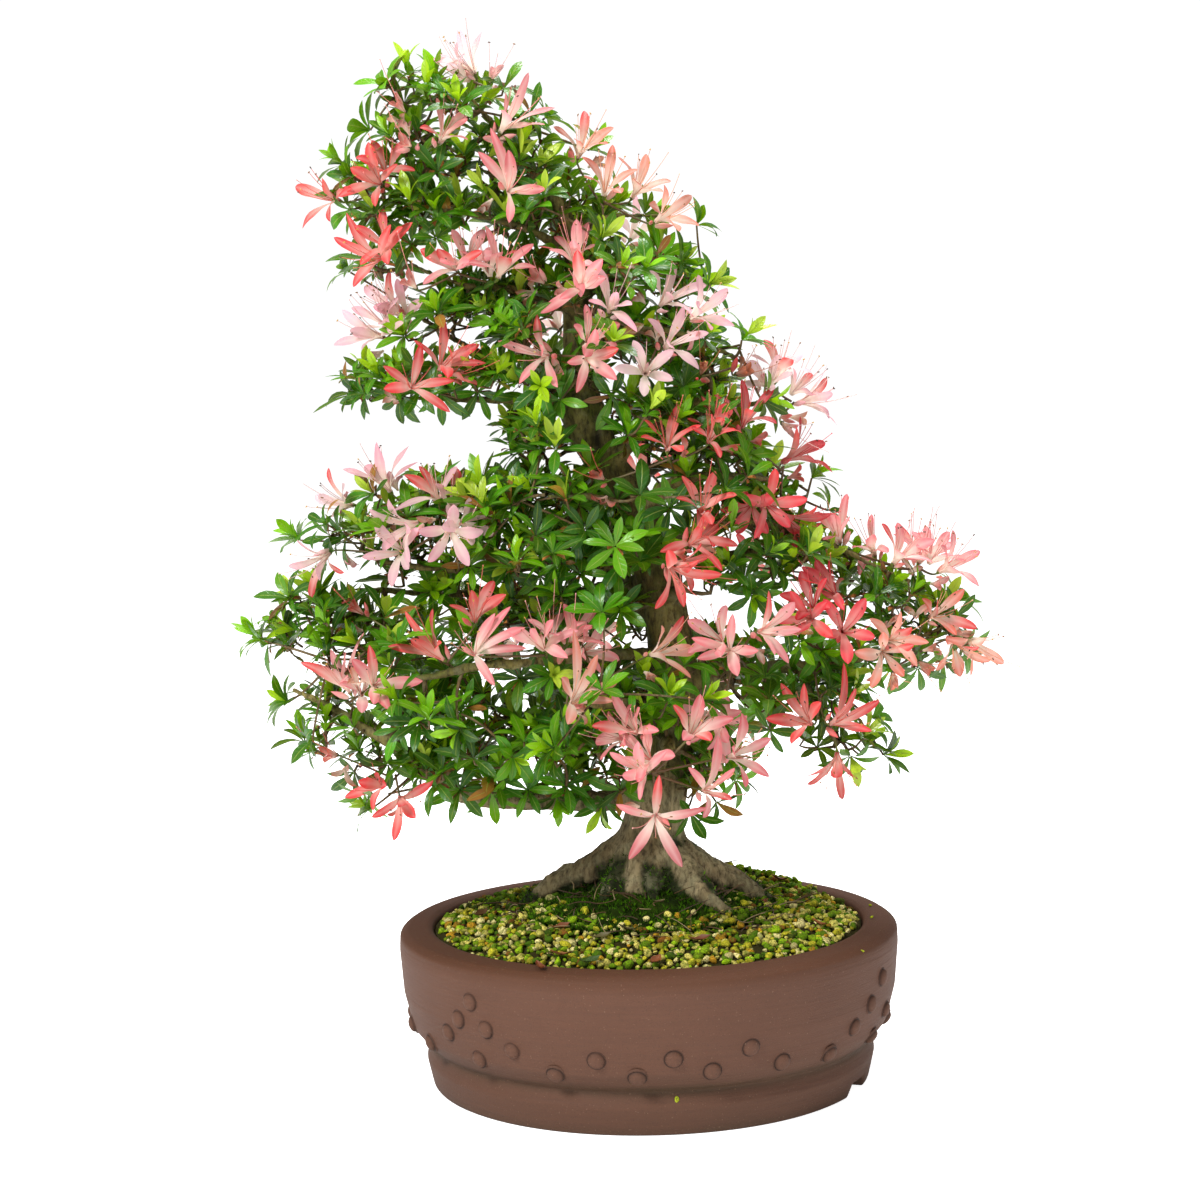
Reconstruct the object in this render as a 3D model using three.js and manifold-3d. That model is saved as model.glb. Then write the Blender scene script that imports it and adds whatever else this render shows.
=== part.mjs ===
// A satsuki azalea bonsai in full flower, standing in a round unglazed pot.
// Millimetres, +Z up. The pot's axis is x = 0, y = 0 while the parts are made, and the viewer
// stands on the -Y side.
import * as THREE from "three";
import { mergeVertices } from "three/addons/utils/BufferGeometryUtils.js";
import Module from "manifold-3d";

const wasm = await Module();
wasm.setup();

// Pot
const POT_SEGMENTS = 32;
const DRAIN_RADIUS = 23;
const FLOOR_TOP = 20;
const POT_PROFILE = [
  [DRAIN_RADIUS, 9],
  [150, 9],
  [153, 0],
  [167, 0],
  [171.8, 21],
  [167.5, 32.5],
  [172.5, 36],
  [181.5, 46.5],
  [188, 72],
  [190.5, 104],
  [190, 115],
  [184, 119],
  [169, 120.5],
  [164.5, 118.5],
  [150, FLOOR_TOP],
  [DRAIN_RADIUS, FLOOR_TOP],
];
const FOOT_NOTCH_ANGLES = [66, 246];
const FOOT_NOTCH = { width: 36, top: 22, height: 9 };
const STUD = { radius: 7, rise: 3.4, sunk: 1.6, sides: 5 };
// Studs are pressed on by hand, [degrees from the front, height]: heaps like mountains, joined by low
// zigzags. The front ones are set one by one, and the back has one more mountain between two zigzags.
const FRONT_STUDS = [
  [-90, 50], [-77.6, 51], [-62.6, 48], [-51.6, 64], [-46.8, 77], [-42.5, 92], [-42.3, 49], [-38.3, 74],
  [-31.9, 61], [-21.8, 46], [-11.9, 59], [-3.1, 46], [4.9, 60], [13.6, 49], [22.2, 64], [30.6, 49],
  [45.1, 46], [53, 61], [59.2, 74], [64.7, 90], [65, 44.5], [70.8, 61], [82.9, 44.5], [96.8, 53],
];
const BACK_MOUNTAIN = 190;
const MOUNTAIN_STUDS = [
  [0, 91],
  [-4.8, 76],
  [4.8, 75],
  [-10.2, 63],
  [10.6, 61],
  [0, 47.5],
];
const ZIGZAGS = [{ from: 108, to: 169, count: 8 }, { from: 211, to: 260, count: 6 }];
const ZIGZAG_LOW = 46.5;
const ZIGZAG_HIGH = 60;

// What fills the pot
const GAP = 0.35;
const MESH = { side: 58, thickness: 2, bar: 5 };
const SOIL_SEGMENTS = 22;
const SOIL_EDGE = [162.9, 116.5];
const MOSS_RADIUS = 93;
const MOSS_SEGMENTS = 13;
const MOSS_FLOOR = 127;

// Leaves and petals are blades round the hub at a shoot's tip. A blade is widest part of the way
// along, has a ridge along its middle, and its slope turns from inner at the hub to outer at the tip.
const PETALS = { count: 5, hub: 2.2, length: 33, halfWidth: 4.1, widest: 0.66, inner: 1.3, outer: 0.3 };
const CURLED = { count: 3, hub: 2, length: 17, halfWidth: 3.2, widest: 0.5, inner: 1.25, outer: 1.3 };
const LEAVES = { count: 4, hub: 1.9, length: 27, halfWidth: 4.4, widest: 0.48, inner: 0.75, outer: -0.25 };
const HUB_THICKNESS = 0.8;
const RIDGE = 0.9;
const STALK_RADIUS = 0.6;
const STEM_RADIUS = 1.7;
const STALK_BEHIND = 11;
const LEAST_TILT = 0.35;
const FORK_START = 0.5;
const FORK_SPREAD = 0.35;
const BENDS = [0, 0.3, -0.3, 0.55];

// The crown is laid out on a front elevation, as seen by a viewer whose eye is at DISTANCE from the
// point AIM_HEIGHT up the pot's axis and RISE degrees above it. Columns run to the right and rows
// down; TURN is how far the elevation's rows are turned from level. Depth is along +Y.
const ELEVATION = { column: 642.1, row: 600, focal: 2503.8 };
const DISTANCE = 1900;
const AIM_HEIGHT = 365;
const RISE = THREE.MathUtils.degToRad(5.08);
const TURN = THREE.MathUtils.degToRad(1.1);

// Wood: rows of [column, row, depth, radius].
const TRUNK = [
  [649, 925, 5, 34],
  [649, 890, 5, 37],
  [652, 850, 4, 31],
  [653, 827, 3, 24.5],
  [662, 770, 0, 22],
  [675, 690, -4, 19.5],
  [664, 604, 0, 17.5],
  [652, 553, 4, 18.5],
  [630, 500, 4, 17],
  [604, 462, 2, 14.5],
  [584, 415, 0, 17.5],
  [579, 372, 2, 12],
  [575, 290, 4, 9],
  [573, 240, 3, 7],
  [550, 190, -2, 5],
  [470, 98, -8, 2.4],
];
const BRANCHES = [
  [[655, 792, 0, 12], [600, 800, -8, 9.5], [470, 795, -30, 8.5], [392, 745, -45, 5.5], [295, 690, -40, 2.8]],
  [[662, 735, 0, 8], [600, 735, 15, 6], [450, 768, 35, 4.5], [400, 742, 40, 3.6], [285, 650, 40, 2]],
  [[675, 690, 0, 10], [727, 671, -12, 7.5], [778, 668, -22, 6.5], [860, 662, -25, 4.5], [945, 625, -5, 2.4]],
  [[800, 672, -26, 4.5], [832, 735, -42, 2.2]],
  [[660, 590, 5, 8], [700, 560, 35, 6], [820, 550, 60, 4], [880, 570, 50, 3]],
  [[650, 540, 0, 8], [700, 530, -20, 6], [760, 520, -22, 5], [925, 585, 5, 2.2]],
  [[650, 560, 0, 8], [560, 565, -18, 6], [399, 566, -20, 3.5], [325, 530, -5, 2]],
  [[662, 610, 0, 8], [560, 592, 15, 6], [470, 594, 28, 4.5], [350, 590, 28, 2.8], [290, 605, 22, 2]],
  [[672, 660, -5, 9], [610, 655, -50, 6.5], [530, 662, -75, 5.2], [380, 680, -75, 3], [320, 665, -62, 2.2]],
  [[675, 700, -5, 9], [645, 700, -55, 6], [600, 705, -90, 4.5], [560, 690, -105, 3.2]],
  [[668, 750, -5, 9], [668, 745, -60, 6], [662, 782, -108, 3]],
  [[583, 425, 0, 7], [551, 406, -12, 5], [475, 397, -22, 4], [385, 398, -25, 2.2]],
  [[582, 400, 0, 7], [534, 380, 20, 5], [430, 325, 20, 3], [390, 305, 10, 2.2]],
  [[578, 310, 0, 6], [520, 295, -20, 4.5], [425, 270, -25, 2.8], [395, 240, -20, 2.2]],
  [[610, 465, 0, 8], [650, 425, -25, 5.5], [700, 405, -35, 4.5], [785, 400, -8, 2.6]],
  [[579, 360, 0, 7], [620, 335, -35, 5], [670, 330, -38, 4], [745, 365, -10, 2.2]],
  [[577, 300, 0, 6], [620, 270, 5, 4.5], [660, 255, 12, 3.6], [700, 270, 10, 2.6]],
  [[574, 250, 0, 5], [600, 220, -8, 3.6], [675, 215, 5, 2]],
  [[574, 258, 0, 5], [530, 230, -12, 4], [470, 215, -15, 3.2], [370, 200, -10, 2]],
  [[540, 178, -3, 4], [490, 175, 10, 3], [400, 110, 4, 1.8]],
  [[642, 520, 0, 9], [680, 480, -40, 5.5], [780, 480, -35, 3]],
  [[668, 640, 5, 9], [650, 620, 70, 6], [590, 600, 140, 2.6]],
  [[674, 690, 5, 9], [715, 690, 60, 6], [800, 660, 110, 3]],
  [[655, 580, 5, 9], [590, 590, 60, 5.5], [450, 610, 95, 2.8]],
  [[624, 490, 5, 8], [650, 470, 50, 5.5], [720, 440, 95, 2.8]],
  [[582, 405, 5, 7], [560, 390, 45, 5], [520, 360, 90, 2.4]],
  [[577, 310, 5, 6], [590, 300, 40, 4], [630, 270, 75, 2]],
  [[640, 520, -5, 8], [610, 500, -50, 5], [545, 495, -80, 2.6]],
  [[580, 380, -5, 7], [590, 360, -45, 4.2], [595, 350, -62, 3]],
  [[662, 600, -5, 9], [680, 588, -45, 5.5], [690, 574, -64, 3]],
];
// Surface roots: [degrees round the trunk, reach, thickness, droop at the trunk].
const ROOTS = [
  [178, 110, 12.5, 0],
  [224, 80, 9, 4],
  [278, 66, 9, 3],
  [322, 96, 11, 3],
  [356, 104, 12, 0],
  [58, 92, 11, 2],
  [122, 96, 11, 2],
];

// Flower trusses: rows of [column, row, depth, lean right, lean up, kind]. The leans are tenths of the
// flower's own facing vector; c is a curled or withered flower or a bud.
const TRUSSES = {
  apex_pale: ["pale", [475, 74, -5, -4, 8], [490, 82, -12, 3, 5, "c"]],
  apex_pink: ["pink", [439, 143, -30, 5, 7], [405, 112, -15, -4, 5, "c"], [411, 146, -32, -3, 2, "c"]],
  crown_pink: ["pink", [500, 133, -30, 6, 7], [508, 191, -45, 3, 7]],
  crown_right: ["salmon", [578, 158, 0, 5, 4], [604, 196, -10, 2, 8], [632, 198, 0, 5, 7],
    [655, 222, -14, 7, 4]],
  left_coral: ["coral", [381, 184, -20, -3, 2], [340, 201, -10, -8, 3], [383, 258, -35, -6, 6]],
  left_pink: ["pink", [457, 270, -30, -3, 3], [498, 278, -45, 3, 8], [416, 288, -44, -2, 6, "c"]],
  left_edge: ["pale", [398, 311, -5, -6, 4], [383, 337, -15, -7, 2]],
  centre_top: ["pink", [577, 268, -48, 0, 7], [582, 288, -64, 0, 1], [544, 283, -40, -3, 5, "c"]],
  centre_pale: ["pale", [609, 313, -60, 2, 6], [645, 374, -64, 1, 2], [664, 348, -52, 5, 4],
    [660, 306, -40, 6, 4], [690, 318, -54, 7, 3]],
  left_mid: ["coral", [439, 370, -52, 4, 6], [411, 388, -60, 4, 3]],
  centre_pink: ["pink", [549, 355, -62, -6, 0], [585, 357, -76, 3, -1]],
  right_withered: ["withered", [701, 374, -45, 3, 5, "c"], [736, 374, -25, 6, 4, "c"]],
  right_edge: ["pale", [775, 382, 0, 7, 5], [798, 403, 5, 8, 3], [782, 423, -5, 8, 0, "c"]],
  centre_coral: ["coral", [667, 451, -70, 0, 8], [708, 443, -62, 3, 6], [604, 479, -60, -2, 5, "c"]],
  right_crimson: ["crimson", [742, 428, -32, 6, 6], [785, 461, -10, 8, 4], [764, 502, -38, 4, 0],
    [785, 515, -20, 7, 0]],
  centre_star: ["coral", [688, 545, -74, 5, 5], [669, 566, -88, 6, -4], [701, 515, -62, 0, 6]],
  left_pad_pale: ["pale", [391, 492, -20, -5, 8], [439, 502, -35, 0, 8], [418, 522, -54, -8, -2]],
  left_pad_edge: ["pale", [353, 505, 0, -8, 0], [330, 553, -26, -6, -5], [404, 551, -40, -3, 0],
    [450, 528, -56, 0, -4]],
  low_left_coral: ["coral", [363, 614, -30, -5, 5, "c"], [444, 660, -75, -7, 6], [475, 622, -70, 1, 7]],
  low_left_pink: ["pink", [475, 655, -92, 7, 3], [545, 650, -90, -3, 6], [570, 642, -84, 4, 6]],
  low_front: ["salmon", [570, 704, -112, 5, 6], [650, 655, -80, -3, -2]],
  low_edge: ["pink", [350, 693, -60, -4, 8], [373, 686, -80, 3, 2]],
  low_hanging: ["coral", [385, 785, -50, -4, 2], [400, 797, -64, 2, -2], [337, 755, -45, -5, 3, "c"]],
  right_pad: ["pink", [840, 543, 0, 2, 8], [875, 556, 22, 1, 8], [893, 563, -30, 4, 7], [919, 563, 6, 5, 7],
    [939, 572, -20, 7, 5]],
  right_front: ["crimson", [837, 596, -38, -5, 7], [812, 619, -55, -3, 1], [842, 632, -50, 1, 2]],
  right_star: ["pink", [730, 650, -82, -1, 1], [758, 632, -76, 6, 1], [722, 721, -64, 4, 3]],
  right_tip: ["salmon", [888, 640, -42, 4, 3], [929, 617, -20, 5, 3], [965, 637, -15, 4, -6],
    [893, 673, -45, 0, -4, "c"], [919, 662, -30, 4, -4, "c"]],
  right_low: ["coral", [812, 724, -60, -5, 5], [830, 724, -66, 7, 5], [837, 752, -55, 0, -8]],
  bottom: ["pink", [638, 734, -106, -4, 5], [648, 772, -114, -5, 0], [655, 814, -120, 0, -2],
    [689, 737, -108, 3, 6], [702, 790, -104, 6, 0], [728, 757, -90, 7, 2]],
  back_low: ["pink", [600, 640, 150, -2, 4], [700, 690, 140, 4, 4], [520, 650, 120, -5, 4]],
  back_mid: ["coral", [640, 480, 120, 2, 6], [740, 560, 110, 6, 4]],
  back_top: ["pale", [560, 330, 95, -3, 6], [630, 240, 70, 4, 6]],
};
// Leafy sprays: rows of [column, row, depth] for the tip that each whorl of leaves grows round.
const SPRAYS = {
  apex_left: [[395, 88, 0], [370, 130, 8]],
  apex_right: [[545, 118, 0], [590, 150, 14], [460, 108, -36]],
  left_top: [[345, 165, 0], [412, 178, 10]],
  left_upper: [[350, 272, 2], [440, 330, 0], [519, 316, 12]],
  crown: [[545, 195, -42], [600, 240, -38]],
  crown_right: [[697, 225, 2], [708, 285, -5], [645, 270, -52]],
  centre_upper: [[612, 345, -82], [560, 400, -62], [500, 325, -56]],
  right_upper: [[742, 340, -8], [762, 400, -28], [663, 367, 15]],
  right_mid: [[812, 478, 10], [828, 510, 18], [747, 501, 23], [726, 435, 37]],
  centre: [[540, 450, -54], [512, 505, -66], [585, 530, -80], [482, 548, -56]],
  centre_right: [[640, 495, -80], [725, 490, -66]],
  left_pad: [[300, 540, 8], [385, 535, 18], [504, 511, 20]],
  right_pad: [[765, 555, -52], [822, 562, -16]],
  right_tip: [[955, 600, 14], [905, 600, 30]],
  right_low: [[872, 718, -38], [884, 755, -32], [828, 683, 16], [761, 712, 11]],
  low_left: [[262, 640, 0], [300, 600, 12], [288, 702, -22], [330, 655, -46], [312, 740, -66],
    [388, 652, -58], [388, 647, 21]],
  low_left_front: [[400, 702, -94], [460, 730, -96], [512, 757, -88]],
  low_front: [[555, 748, -114], [602, 690, -120], [702, 700, -94], [602, 612, -94], [560, 596, -72]],
  low_inner: [[488, 702, 23], [444, 670, -8], [549, 631, 61], [605, 716, 47], [529, 734, 0]],
  bottom: [[372, 808, -35], [490, 778, -58]],
  back_low: [[650, 720, 132], [560, 700, 125], [740, 725, 100], [400, 640, 90]],
  back_mid: [[600, 520, 125], [860, 580, 80], [400, 545, 72], [606, 537, 50]],
  back_top: [[540, 370, 92], [692, 292, 52], [500, 200, 50], [450, 150, 35]],
};

const COLOURS = {
  clay: 0x7d5c4e,
  grit: 0x8f9140,
  moss: 0x39421f,
  bark: 0x6d5f4c,
  plastic: 0x20211f,
  leaf: 0x3f7f2c,
  pale: 0xf0b9c0,
  pink: 0xee92a0,
  coral: 0xe9605c,
  crimson: 0xdc4f68,
  salmon: 0xe58d74,
  withered: 0xb9714f,
};

const up = new THREE.Vector3(0, 0, 1);
const vector = (x, y, z) => new THREE.Vector3(x, y, z);

// Seeded draws between 0 and 1.
function draws(seed) {
  let state = seed;
  return () => {
    state = (state * 48271) % 2147483647;
    return state / 2147483647;
  };
}

// The point at a column and row of the elevation, at the given depth.
function at(column, row, depth) {
  const across = column - ELEVATION.column;
  const rise = ELEVATION.row - row;
  const x = across * Math.cos(TURN) + rise * Math.sin(TURN);
  const y = rise * Math.cos(TURN) - across * Math.sin(TURN);
  const f = ELEVATION.focal;
  const far = DISTANCE + depth * Math.cos(RISE);
  const height = (y * far - depth * Math.sin(RISE) * f) / (Math.cos(RISE) * f + y * Math.sin(RISE));
  const reach = far - height * Math.sin(RISE);
  return vector((x * reach) / f, depth, AIM_HEIGHT + height);
}

function solid(geometry) {
  geometry.deleteAttribute("normal");
  geometry.deleteAttribute("uv");
  const merged = mergeVertices(geometry, 1e-4);
  return new wasm.Manifold(
    new wasm.Mesh({
      numProp: 3,
      vertProperties: Float32Array.from(merged.attributes.position.array),
      triVerts: Uint32Array.from(merged.index.array),
    }),
  );
}

function join(solids) {
  return solids.reduce((whole, next) => whole.add(next));
}

// The largest body of a solid; loose scraps are dropped.
function largest(whole) {
  return whole.decompose().sort((a, b) => b.volume() - a.volume())[0];
}

function moveVertices(geometry, place) {
  const position = geometry.attributes.position;
  const vertex = vector(0, 0, 0);
  for (let i = 0; i < position.count; i++) {
    vertex.fromBufferAttribute(position, i);
    place(vertex);
    position.setXYZ(i, vertex.x, vertex.y, vertex.z);
  }
  return geometry;
}

// A tapered limb through the given points, each with its radius. Ridges swell and sink its sides.
function limb(points, radii, sides, ridges = () => 1) {
  const section = new THREE.Shape();
  for (let i = 0; i < sides; i++) {
    const angle = (2 * Math.PI * i) / sides;
    if (i === 0) section.moveTo(Math.cos(angle), Math.sin(angle));
    else section.lineTo(Math.cos(angle), Math.sin(angle));
  }
  section.closePath();
  const steps = points.length - 1;
  const geometry = new THREE.ExtrudeGeometry(section, { steps, depth: steps, bevelEnabled: false });
  const frames = [];
  let side = null;
  points.forEach((point, i) => {
    const ahead = points[Math.min(i + 1, steps)];
    const behind = points[Math.max(i - 1, 0)];
    const along = ahead.clone().sub(behind).normalize();
    const reference = side ?? (Math.abs(along.z) < 0.9 ? up : vector(1, 0, 0));
    side = reference.clone().addScaledVector(along, -reference.dot(along)).normalize();
    frames.push([side, along.clone().cross(side)]);
  });
  moveVertices(geometry, (v) => {
    const ring = Math.round(v.z);
    const [a, b] = frames[ring];
    const radius = radii[ring] * ridges(ring, Math.atan2(v.y, v.x));
    const [x, y] = [v.x * radius, v.y * radius];
    v.copy(points[ring]).addScaledVector(a, x).addScaledVector(b, y);
  });
  return solid(geometry);
}

// How far out and up a blade has come after a length s of it, and its slope there.
function arc(s, { length, inner, outer }) {
  const turn = (outer - inner) / length;
  const slope = inner + turn * s;
  return [(Math.sin(slope) - Math.sin(inner)) / turn, (Math.cos(inner) - Math.cos(slope)) / turn, slope];
}

// The blades round one hub and the stalk from it to its foot, as one closed body. A missing blade is
// null. grow widens and thickens the blades, to test what they would touch.
function tuft({ form, centre, axis, spin, foot, girth }, blades, grow = 0) {
  const count = blades.length;
  const vertices = [];
  const faces = [];
  const x = (Math.abs(axis.z) < 0.95 ? up : vector(1, 0, 0)).clone().cross(axis).normalize();
  x.applyAxisAngle(axis, spin);
  const y = axis.clone().cross(x);
  const add = (turn, along, across, height) => {
    const angle = (turn * 2 * Math.PI) / count;
    const [cos, sin] = [Math.cos(angle), Math.sin(angle)];
    const point = centre.clone().addScaledVector(axis, height);
    point.addScaledVector(x, along * cos - across * sin).addScaledVector(y, along * sin + across * cos);
    return vertices.push(point) - 1;
  };
  const top = blades.map((_, i) => add(i - 0.5, form.hub, 0, HUB_THICKNESS / 2));
  const bottom = blades.map((_, i) => add(i - 0.5, form.hub, 0, -HUB_THICKNESS / 2));
  blades.forEach((blade, i) => {
    const next = (i + 1) % count;
    if (!blade) {
      faces.push([top[i], bottom[i], bottom[next]], [top[i], bottom[next], top[next]]);
      return;
    }
    const [out, rise, slope] = arc(blade.length * form.widest, blade);
    const [far, tipRise] = arc(blade.length + grow, blade);
    const wide = form.halfWidth + grow;
    const left = add(i, form.hub + out, -wide, rise - grow);
    const right = add(i, form.hub + out, wide, rise - grow);
    const thick = RIDGE + 2 * grow;
    const ridge = add(i, form.hub + out - thick * Math.sin(slope), 0, rise - grow + thick * Math.cos(slope));
    const tip = add(i, form.hub + far, 0, tipRise);
    faces.push([top[i], left, ridge], [top[i], ridge, top[next]], [top[next], ridge, right]);
    faces.push([left, tip, ridge], [ridge, tip, right], [left, right, tip]);
    faces.push([bottom[i], right, left], [bottom[i], bottom[next], right]);
    faces.push([top[i], bottom[i], left], [top[next], right, bottom[next]]);
  });
  for (let i = 2; i < count; i++) faces.push([top[0], top[i - 1], top[i]]);

  // The stalk narrows from the hub's underside to three corners round its foot.
  const down = foot.clone().sub(centre).normalize();
  const side = x.clone().addScaledVector(down, -x.dot(down)).normalize();
  const other = side.clone().cross(down);
  const ends = [0, 1, 2].map((k) => {
    const angle = ((k + 0.5) / 3 - 0.5 / count) * 2 * Math.PI;
    const corner = foot.clone().addScaledVector(side, girth * Math.cos(angle));
    return vertices.push(corner.addScaledVector(other, girth * Math.sin(angle))) - 1;
  });
  let k = 0;
  for (let i = 0; i < count; i++) {
    faces.push([bottom[i], ends[k], bottom[(i + 1) % count]]);
    const following = Math.floor((3 * (i + 1.5)) / count);
    if (following > k || i === count - 1) {
      faces.push([bottom[(i + 1) % count], ends[k], ends[(k + 1) % 3]]);
      k = following % 3;
    }
  }
  faces.push([ends[0], ends[2], ends[1]]);
  const geometry = new THREE.BufferGeometry().setFromPoints(vertices);
  return solid(geometry.setIndex(faces.flat()));
}

// ---- Pot -----------------------------------------------------------------------------------------

function lathe(profile, segments) {
  const points = profile.map(([r, z]) => new THREE.Vector2(r, z));
  const geometry = new THREE.LatheGeometry(points, segments);
  return geometry.rotateX(Math.PI / 2);
}

// The wall's outer radius at a height.
function wallRadius(height) {
  const wall = POT_PROFILE.slice(3, 12);
  const i = wall.findIndex(([, z]) => z > height);
  const [[r0, z0], [r1, z1]] = [wall[i - 1], wall[i]];
  return r0 + ((r1 - r0) * (height - z0)) / (z1 - z0);
}

// A stud's base is sunk in the wall and its face stands out, square to the wall's slope.
function stud(degrees, height) {
  const angle = THREE.MathUtils.degToRad(degrees - 90);
  const slope = Math.atan2(wallRadius(height + 2) - wallRadius(height - 2), 4);
  const length = STUD.rise + STUD.sunk;
  const spread = (STUD.radius * length) / STUD.rise;
  const geometry = new THREE.ConeGeometry(spread, length, STUD.sides, 1);
  geometry.rotateZ(-Math.PI / 2 - slope).translate(wallRadius(height) - STUD.sunk + length / 2, 0, 0);
  geometry.rotateX(Math.PI / 2).translate(0, 0, height).rotateZ(angle);
  return solid(geometry);
}

function studPositions() {
  const studs = [...FRONT_STUDS, ...MOUNTAIN_STUDS.map(([turn, height]) => [BACK_MOUNTAIN + turn, height])];
  for (const { from, to, count } of ZIGZAGS) {
    for (let k = 0; k < count; k++) {
      studs.push([from + ((to - from) * k) / (count - 1), k % 2 ? ZIGZAG_HIGH : ZIGZAG_LOW]);
    }
  }
  return studs;
}

function footNotch(degrees) {
  const { width, top, height } = FOOT_NOTCH;
  const outline = new THREE.Shape();
  outline.moveTo(-width / 2, -1);
  outline.lineTo(width / 2, -1);
  outline.lineTo(top / 2, height);
  outline.lineTo(-top / 2, height);
  outline.closePath();
  const geometry = new THREE.ExtrudeGeometry(outline, { depth: 40, bevelEnabled: false });
  geometry.rotateX(Math.PI / 2).translate(0, -140, 0);
  return solid(geometry.rotateZ(THREE.MathUtils.degToRad(degrees)));
}

let pot = solid(lathe([...POT_PROFILE, POT_PROFILE[0]], POT_SEGMENTS));
pot = join([pot, ...studPositions().map(([degrees, height]) => stud(degrees, height))]);
FOOT_NOTCH_ANGLES.forEach((degrees) => {
  pot = pot.subtract(footNotch(degrees));
});

// ---- Wood ----------------------------------------------------------------------------------------

function unpack(rows) {
  return [rows.map(([c, r, d]) => at(c, r, d)), rows.map(([, , , radius]) => radius)];
}

function root([degrees, reach, thickness, droop]) {
  const angle = THREE.MathUtils.degToRad(degrees);
  const stations = [
    [8, 186 - droop * 2, 0.9],
    [34, 161 - droop, 1.1],
    [reach * 0.72, 139, 0.75],
    [reach + 6, 113, 0.4],
  ];
  const points = stations.map(([out, height], i) => {
    const bend = angle + 0.12 * Math.sin(degrees + i * 1.7);
    return vector(2 + out * Math.cos(bend), 5 + out * Math.sin(bend) * 0.95, height);
  });
  return [points, stations.map(([, , share]) => share * thickness)];
}

// All the wood as one grown piece. grow thickens it, for the room it takes in soil, moss and leaves.
function wood(grow) {
  const thicker = (radii) => radii.map((radius) => radius + grow);
  const [axis, girths] = unpack(TRUNK);
  const flute = (ring, angle) => {
    return 1 + 0.05 * Math.sin(3 * angle + ring) + 0.04 * Math.sin(5 * angle - 0.7 * ring);
  };
  const limbs = BRANCHES.map((rows) => {
    const [points, radii] = unpack(rows);
    return limb(points, thicker(radii), radii[1] > 6.8 ? 5 : 4);
  });
  const roots = ROOTS.map((row) => {
    const [points, radii] = root(row);
    return limb(points, thicker(radii), 4);
  });
  return join([limb(axis, thicker(girths), 9, flute), ...limbs, ...roots]);
}

const trunk = wood(0);
const trunkRoom = wood(GAP);

// ---- Soil, moss and the mesh over the drain hole -------------------------------------------------

const grain = (x, y) => Math.sin(x * 0.31 + 2) * Math.cos(y * 0.27 - 1) + 0.6 * Math.sin(x * 0.19 + y * 0.23);

// The soil's surface: level under the moss, higher at the back right, and rough with grains.
function soilHeight(x, y) {
  const r = Math.hypot(x, y);
  const share = THREE.MathUtils.clamp((SOIL_EDGE[0] - r) / (SOIL_EDGE[0] - MOSS_RADIUS - 4), 0, 1);
  const heap = 12 * Math.exp(-(((x - 70) / 55) ** 2) - ((y - 105) / 38) ** 2);
  const rough = share > 0.01 && share < 0.99 ? 1.6 * grain(x, y) + heap : 0;
  return SOIL_EDGE[1] + (MOSS_FLOOR - SOIL_EDGE[1]) * Math.sin((share * Math.PI) / 2) + rough;
}

const meshTop = FLOOR_TOP + GAP + MESH.thickness;
const soilProfile = [
  [0, meshTop + GAP],
  [MESH.side * 0.75, meshTop + GAP],
  [MESH.side * 0.75, FLOOR_TOP + GAP],
  [149, FLOOR_TOP + GAP],
  SOIL_EDGE,
  ...[147, 122, MOSS_RADIUS + 4].map((r) => [r, MOSS_FLOOR]),
  [0, MOSS_FLOOR],
];
const soilBed = moveVertices(lathe(soilProfile, SOIL_SEGMENTS), (v) => {
  const r = Math.hypot(v.x, v.y);
  if (v.z > SOIL_EDGE[1] + 0.01 && r > MOSS_RADIUS) v.z = soilHeight(v.x, v.y);
});
const soil = largest(solid(soilBed).subtract(trunkRoom));

function mossHeight(x, y) {
  const share = Math.min(Math.hypot(x - 2, y * 1.05) / MOSS_RADIUS, 1);
  const tufts = 1.3 * Math.sin(x * 0.21) * Math.cos(y * 0.24 + 1);
  return MOSS_FLOOR + 3 + 25 * (1 - share) ** 0.9 + tufts;
}
const mossProfile = [
  [0, MOSS_FLOOR + GAP],
  [MOSS_RADIUS, MOSS_FLOOR + GAP],
  ...[0.96, 0.55].map((share) => [MOSS_RADIUS * share, MOSS_FLOOR + 4]),
  [0, MOSS_FLOOR + 4],
];
const mossBed = moveVertices(lathe(mossProfile, MOSS_SEGMENTS), (v) => {
  if (v.z > MOSS_FLOOR + 1) v.z = mossHeight(v.x, v.y);
});
const moss = largest(solid(mossBed).subtract(trunkRoom));

const slab = (width, thickness, x, y) => {
  const geometry = new THREE.BoxGeometry(width, width, thickness);
  return solid(geometry.translate(x, y, FLOOR_TOP + GAP + MESH.thickness / 2));
};
const opening = (MESH.side - 3 * MESH.bar) / 2;
const step = (opening + MESH.bar) / 2;
const drainMesh = [[-step, -step], [-step, step], [step, -step], [step, step]].reduce(
  (plate, [x, y]) => plate.subtract(slab(opening, 2 * MESH.thickness, x, y)),
  slab(MESH.side, MESH.thickness, 0, 0),
);

// ---- Leaves and flowers --------------------------------------------------------------------------

// The nearest point of any branch's or the upper trunk's middle line.
function nearestWood(point) {
  const line = new THREE.Line3();
  const found = vector(0, 0, 0);
  let best = { distance: Infinity };
  for (const rows of [TRUNK.slice(9), ...BRANCHES.map((branch) => branch.slice(1))]) {
    const [points] = unpack(rows);
    for (let i = 1; i < points.length; i++) {
      line.set(points[i - 1], points[i]).closestPointToPoint(point, true, found);
      const distance = found.distanceTo(point);
      if (distance < best.distance) best = { distance, point: found.clone() };
    }
  }
  return best.point;
}

// A flower's facing vector from its leans; flowers behind the trunk face away from the viewer.
function facing(right, rise, depth) {
  const level = Math.sqrt(Math.max(0.06, 1 - (right / 10) ** 2 - (rise / 10) ** 2));
  return vector(right / 10, depth > 60 ? level : -level, rise / 10).normalize();
}

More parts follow.
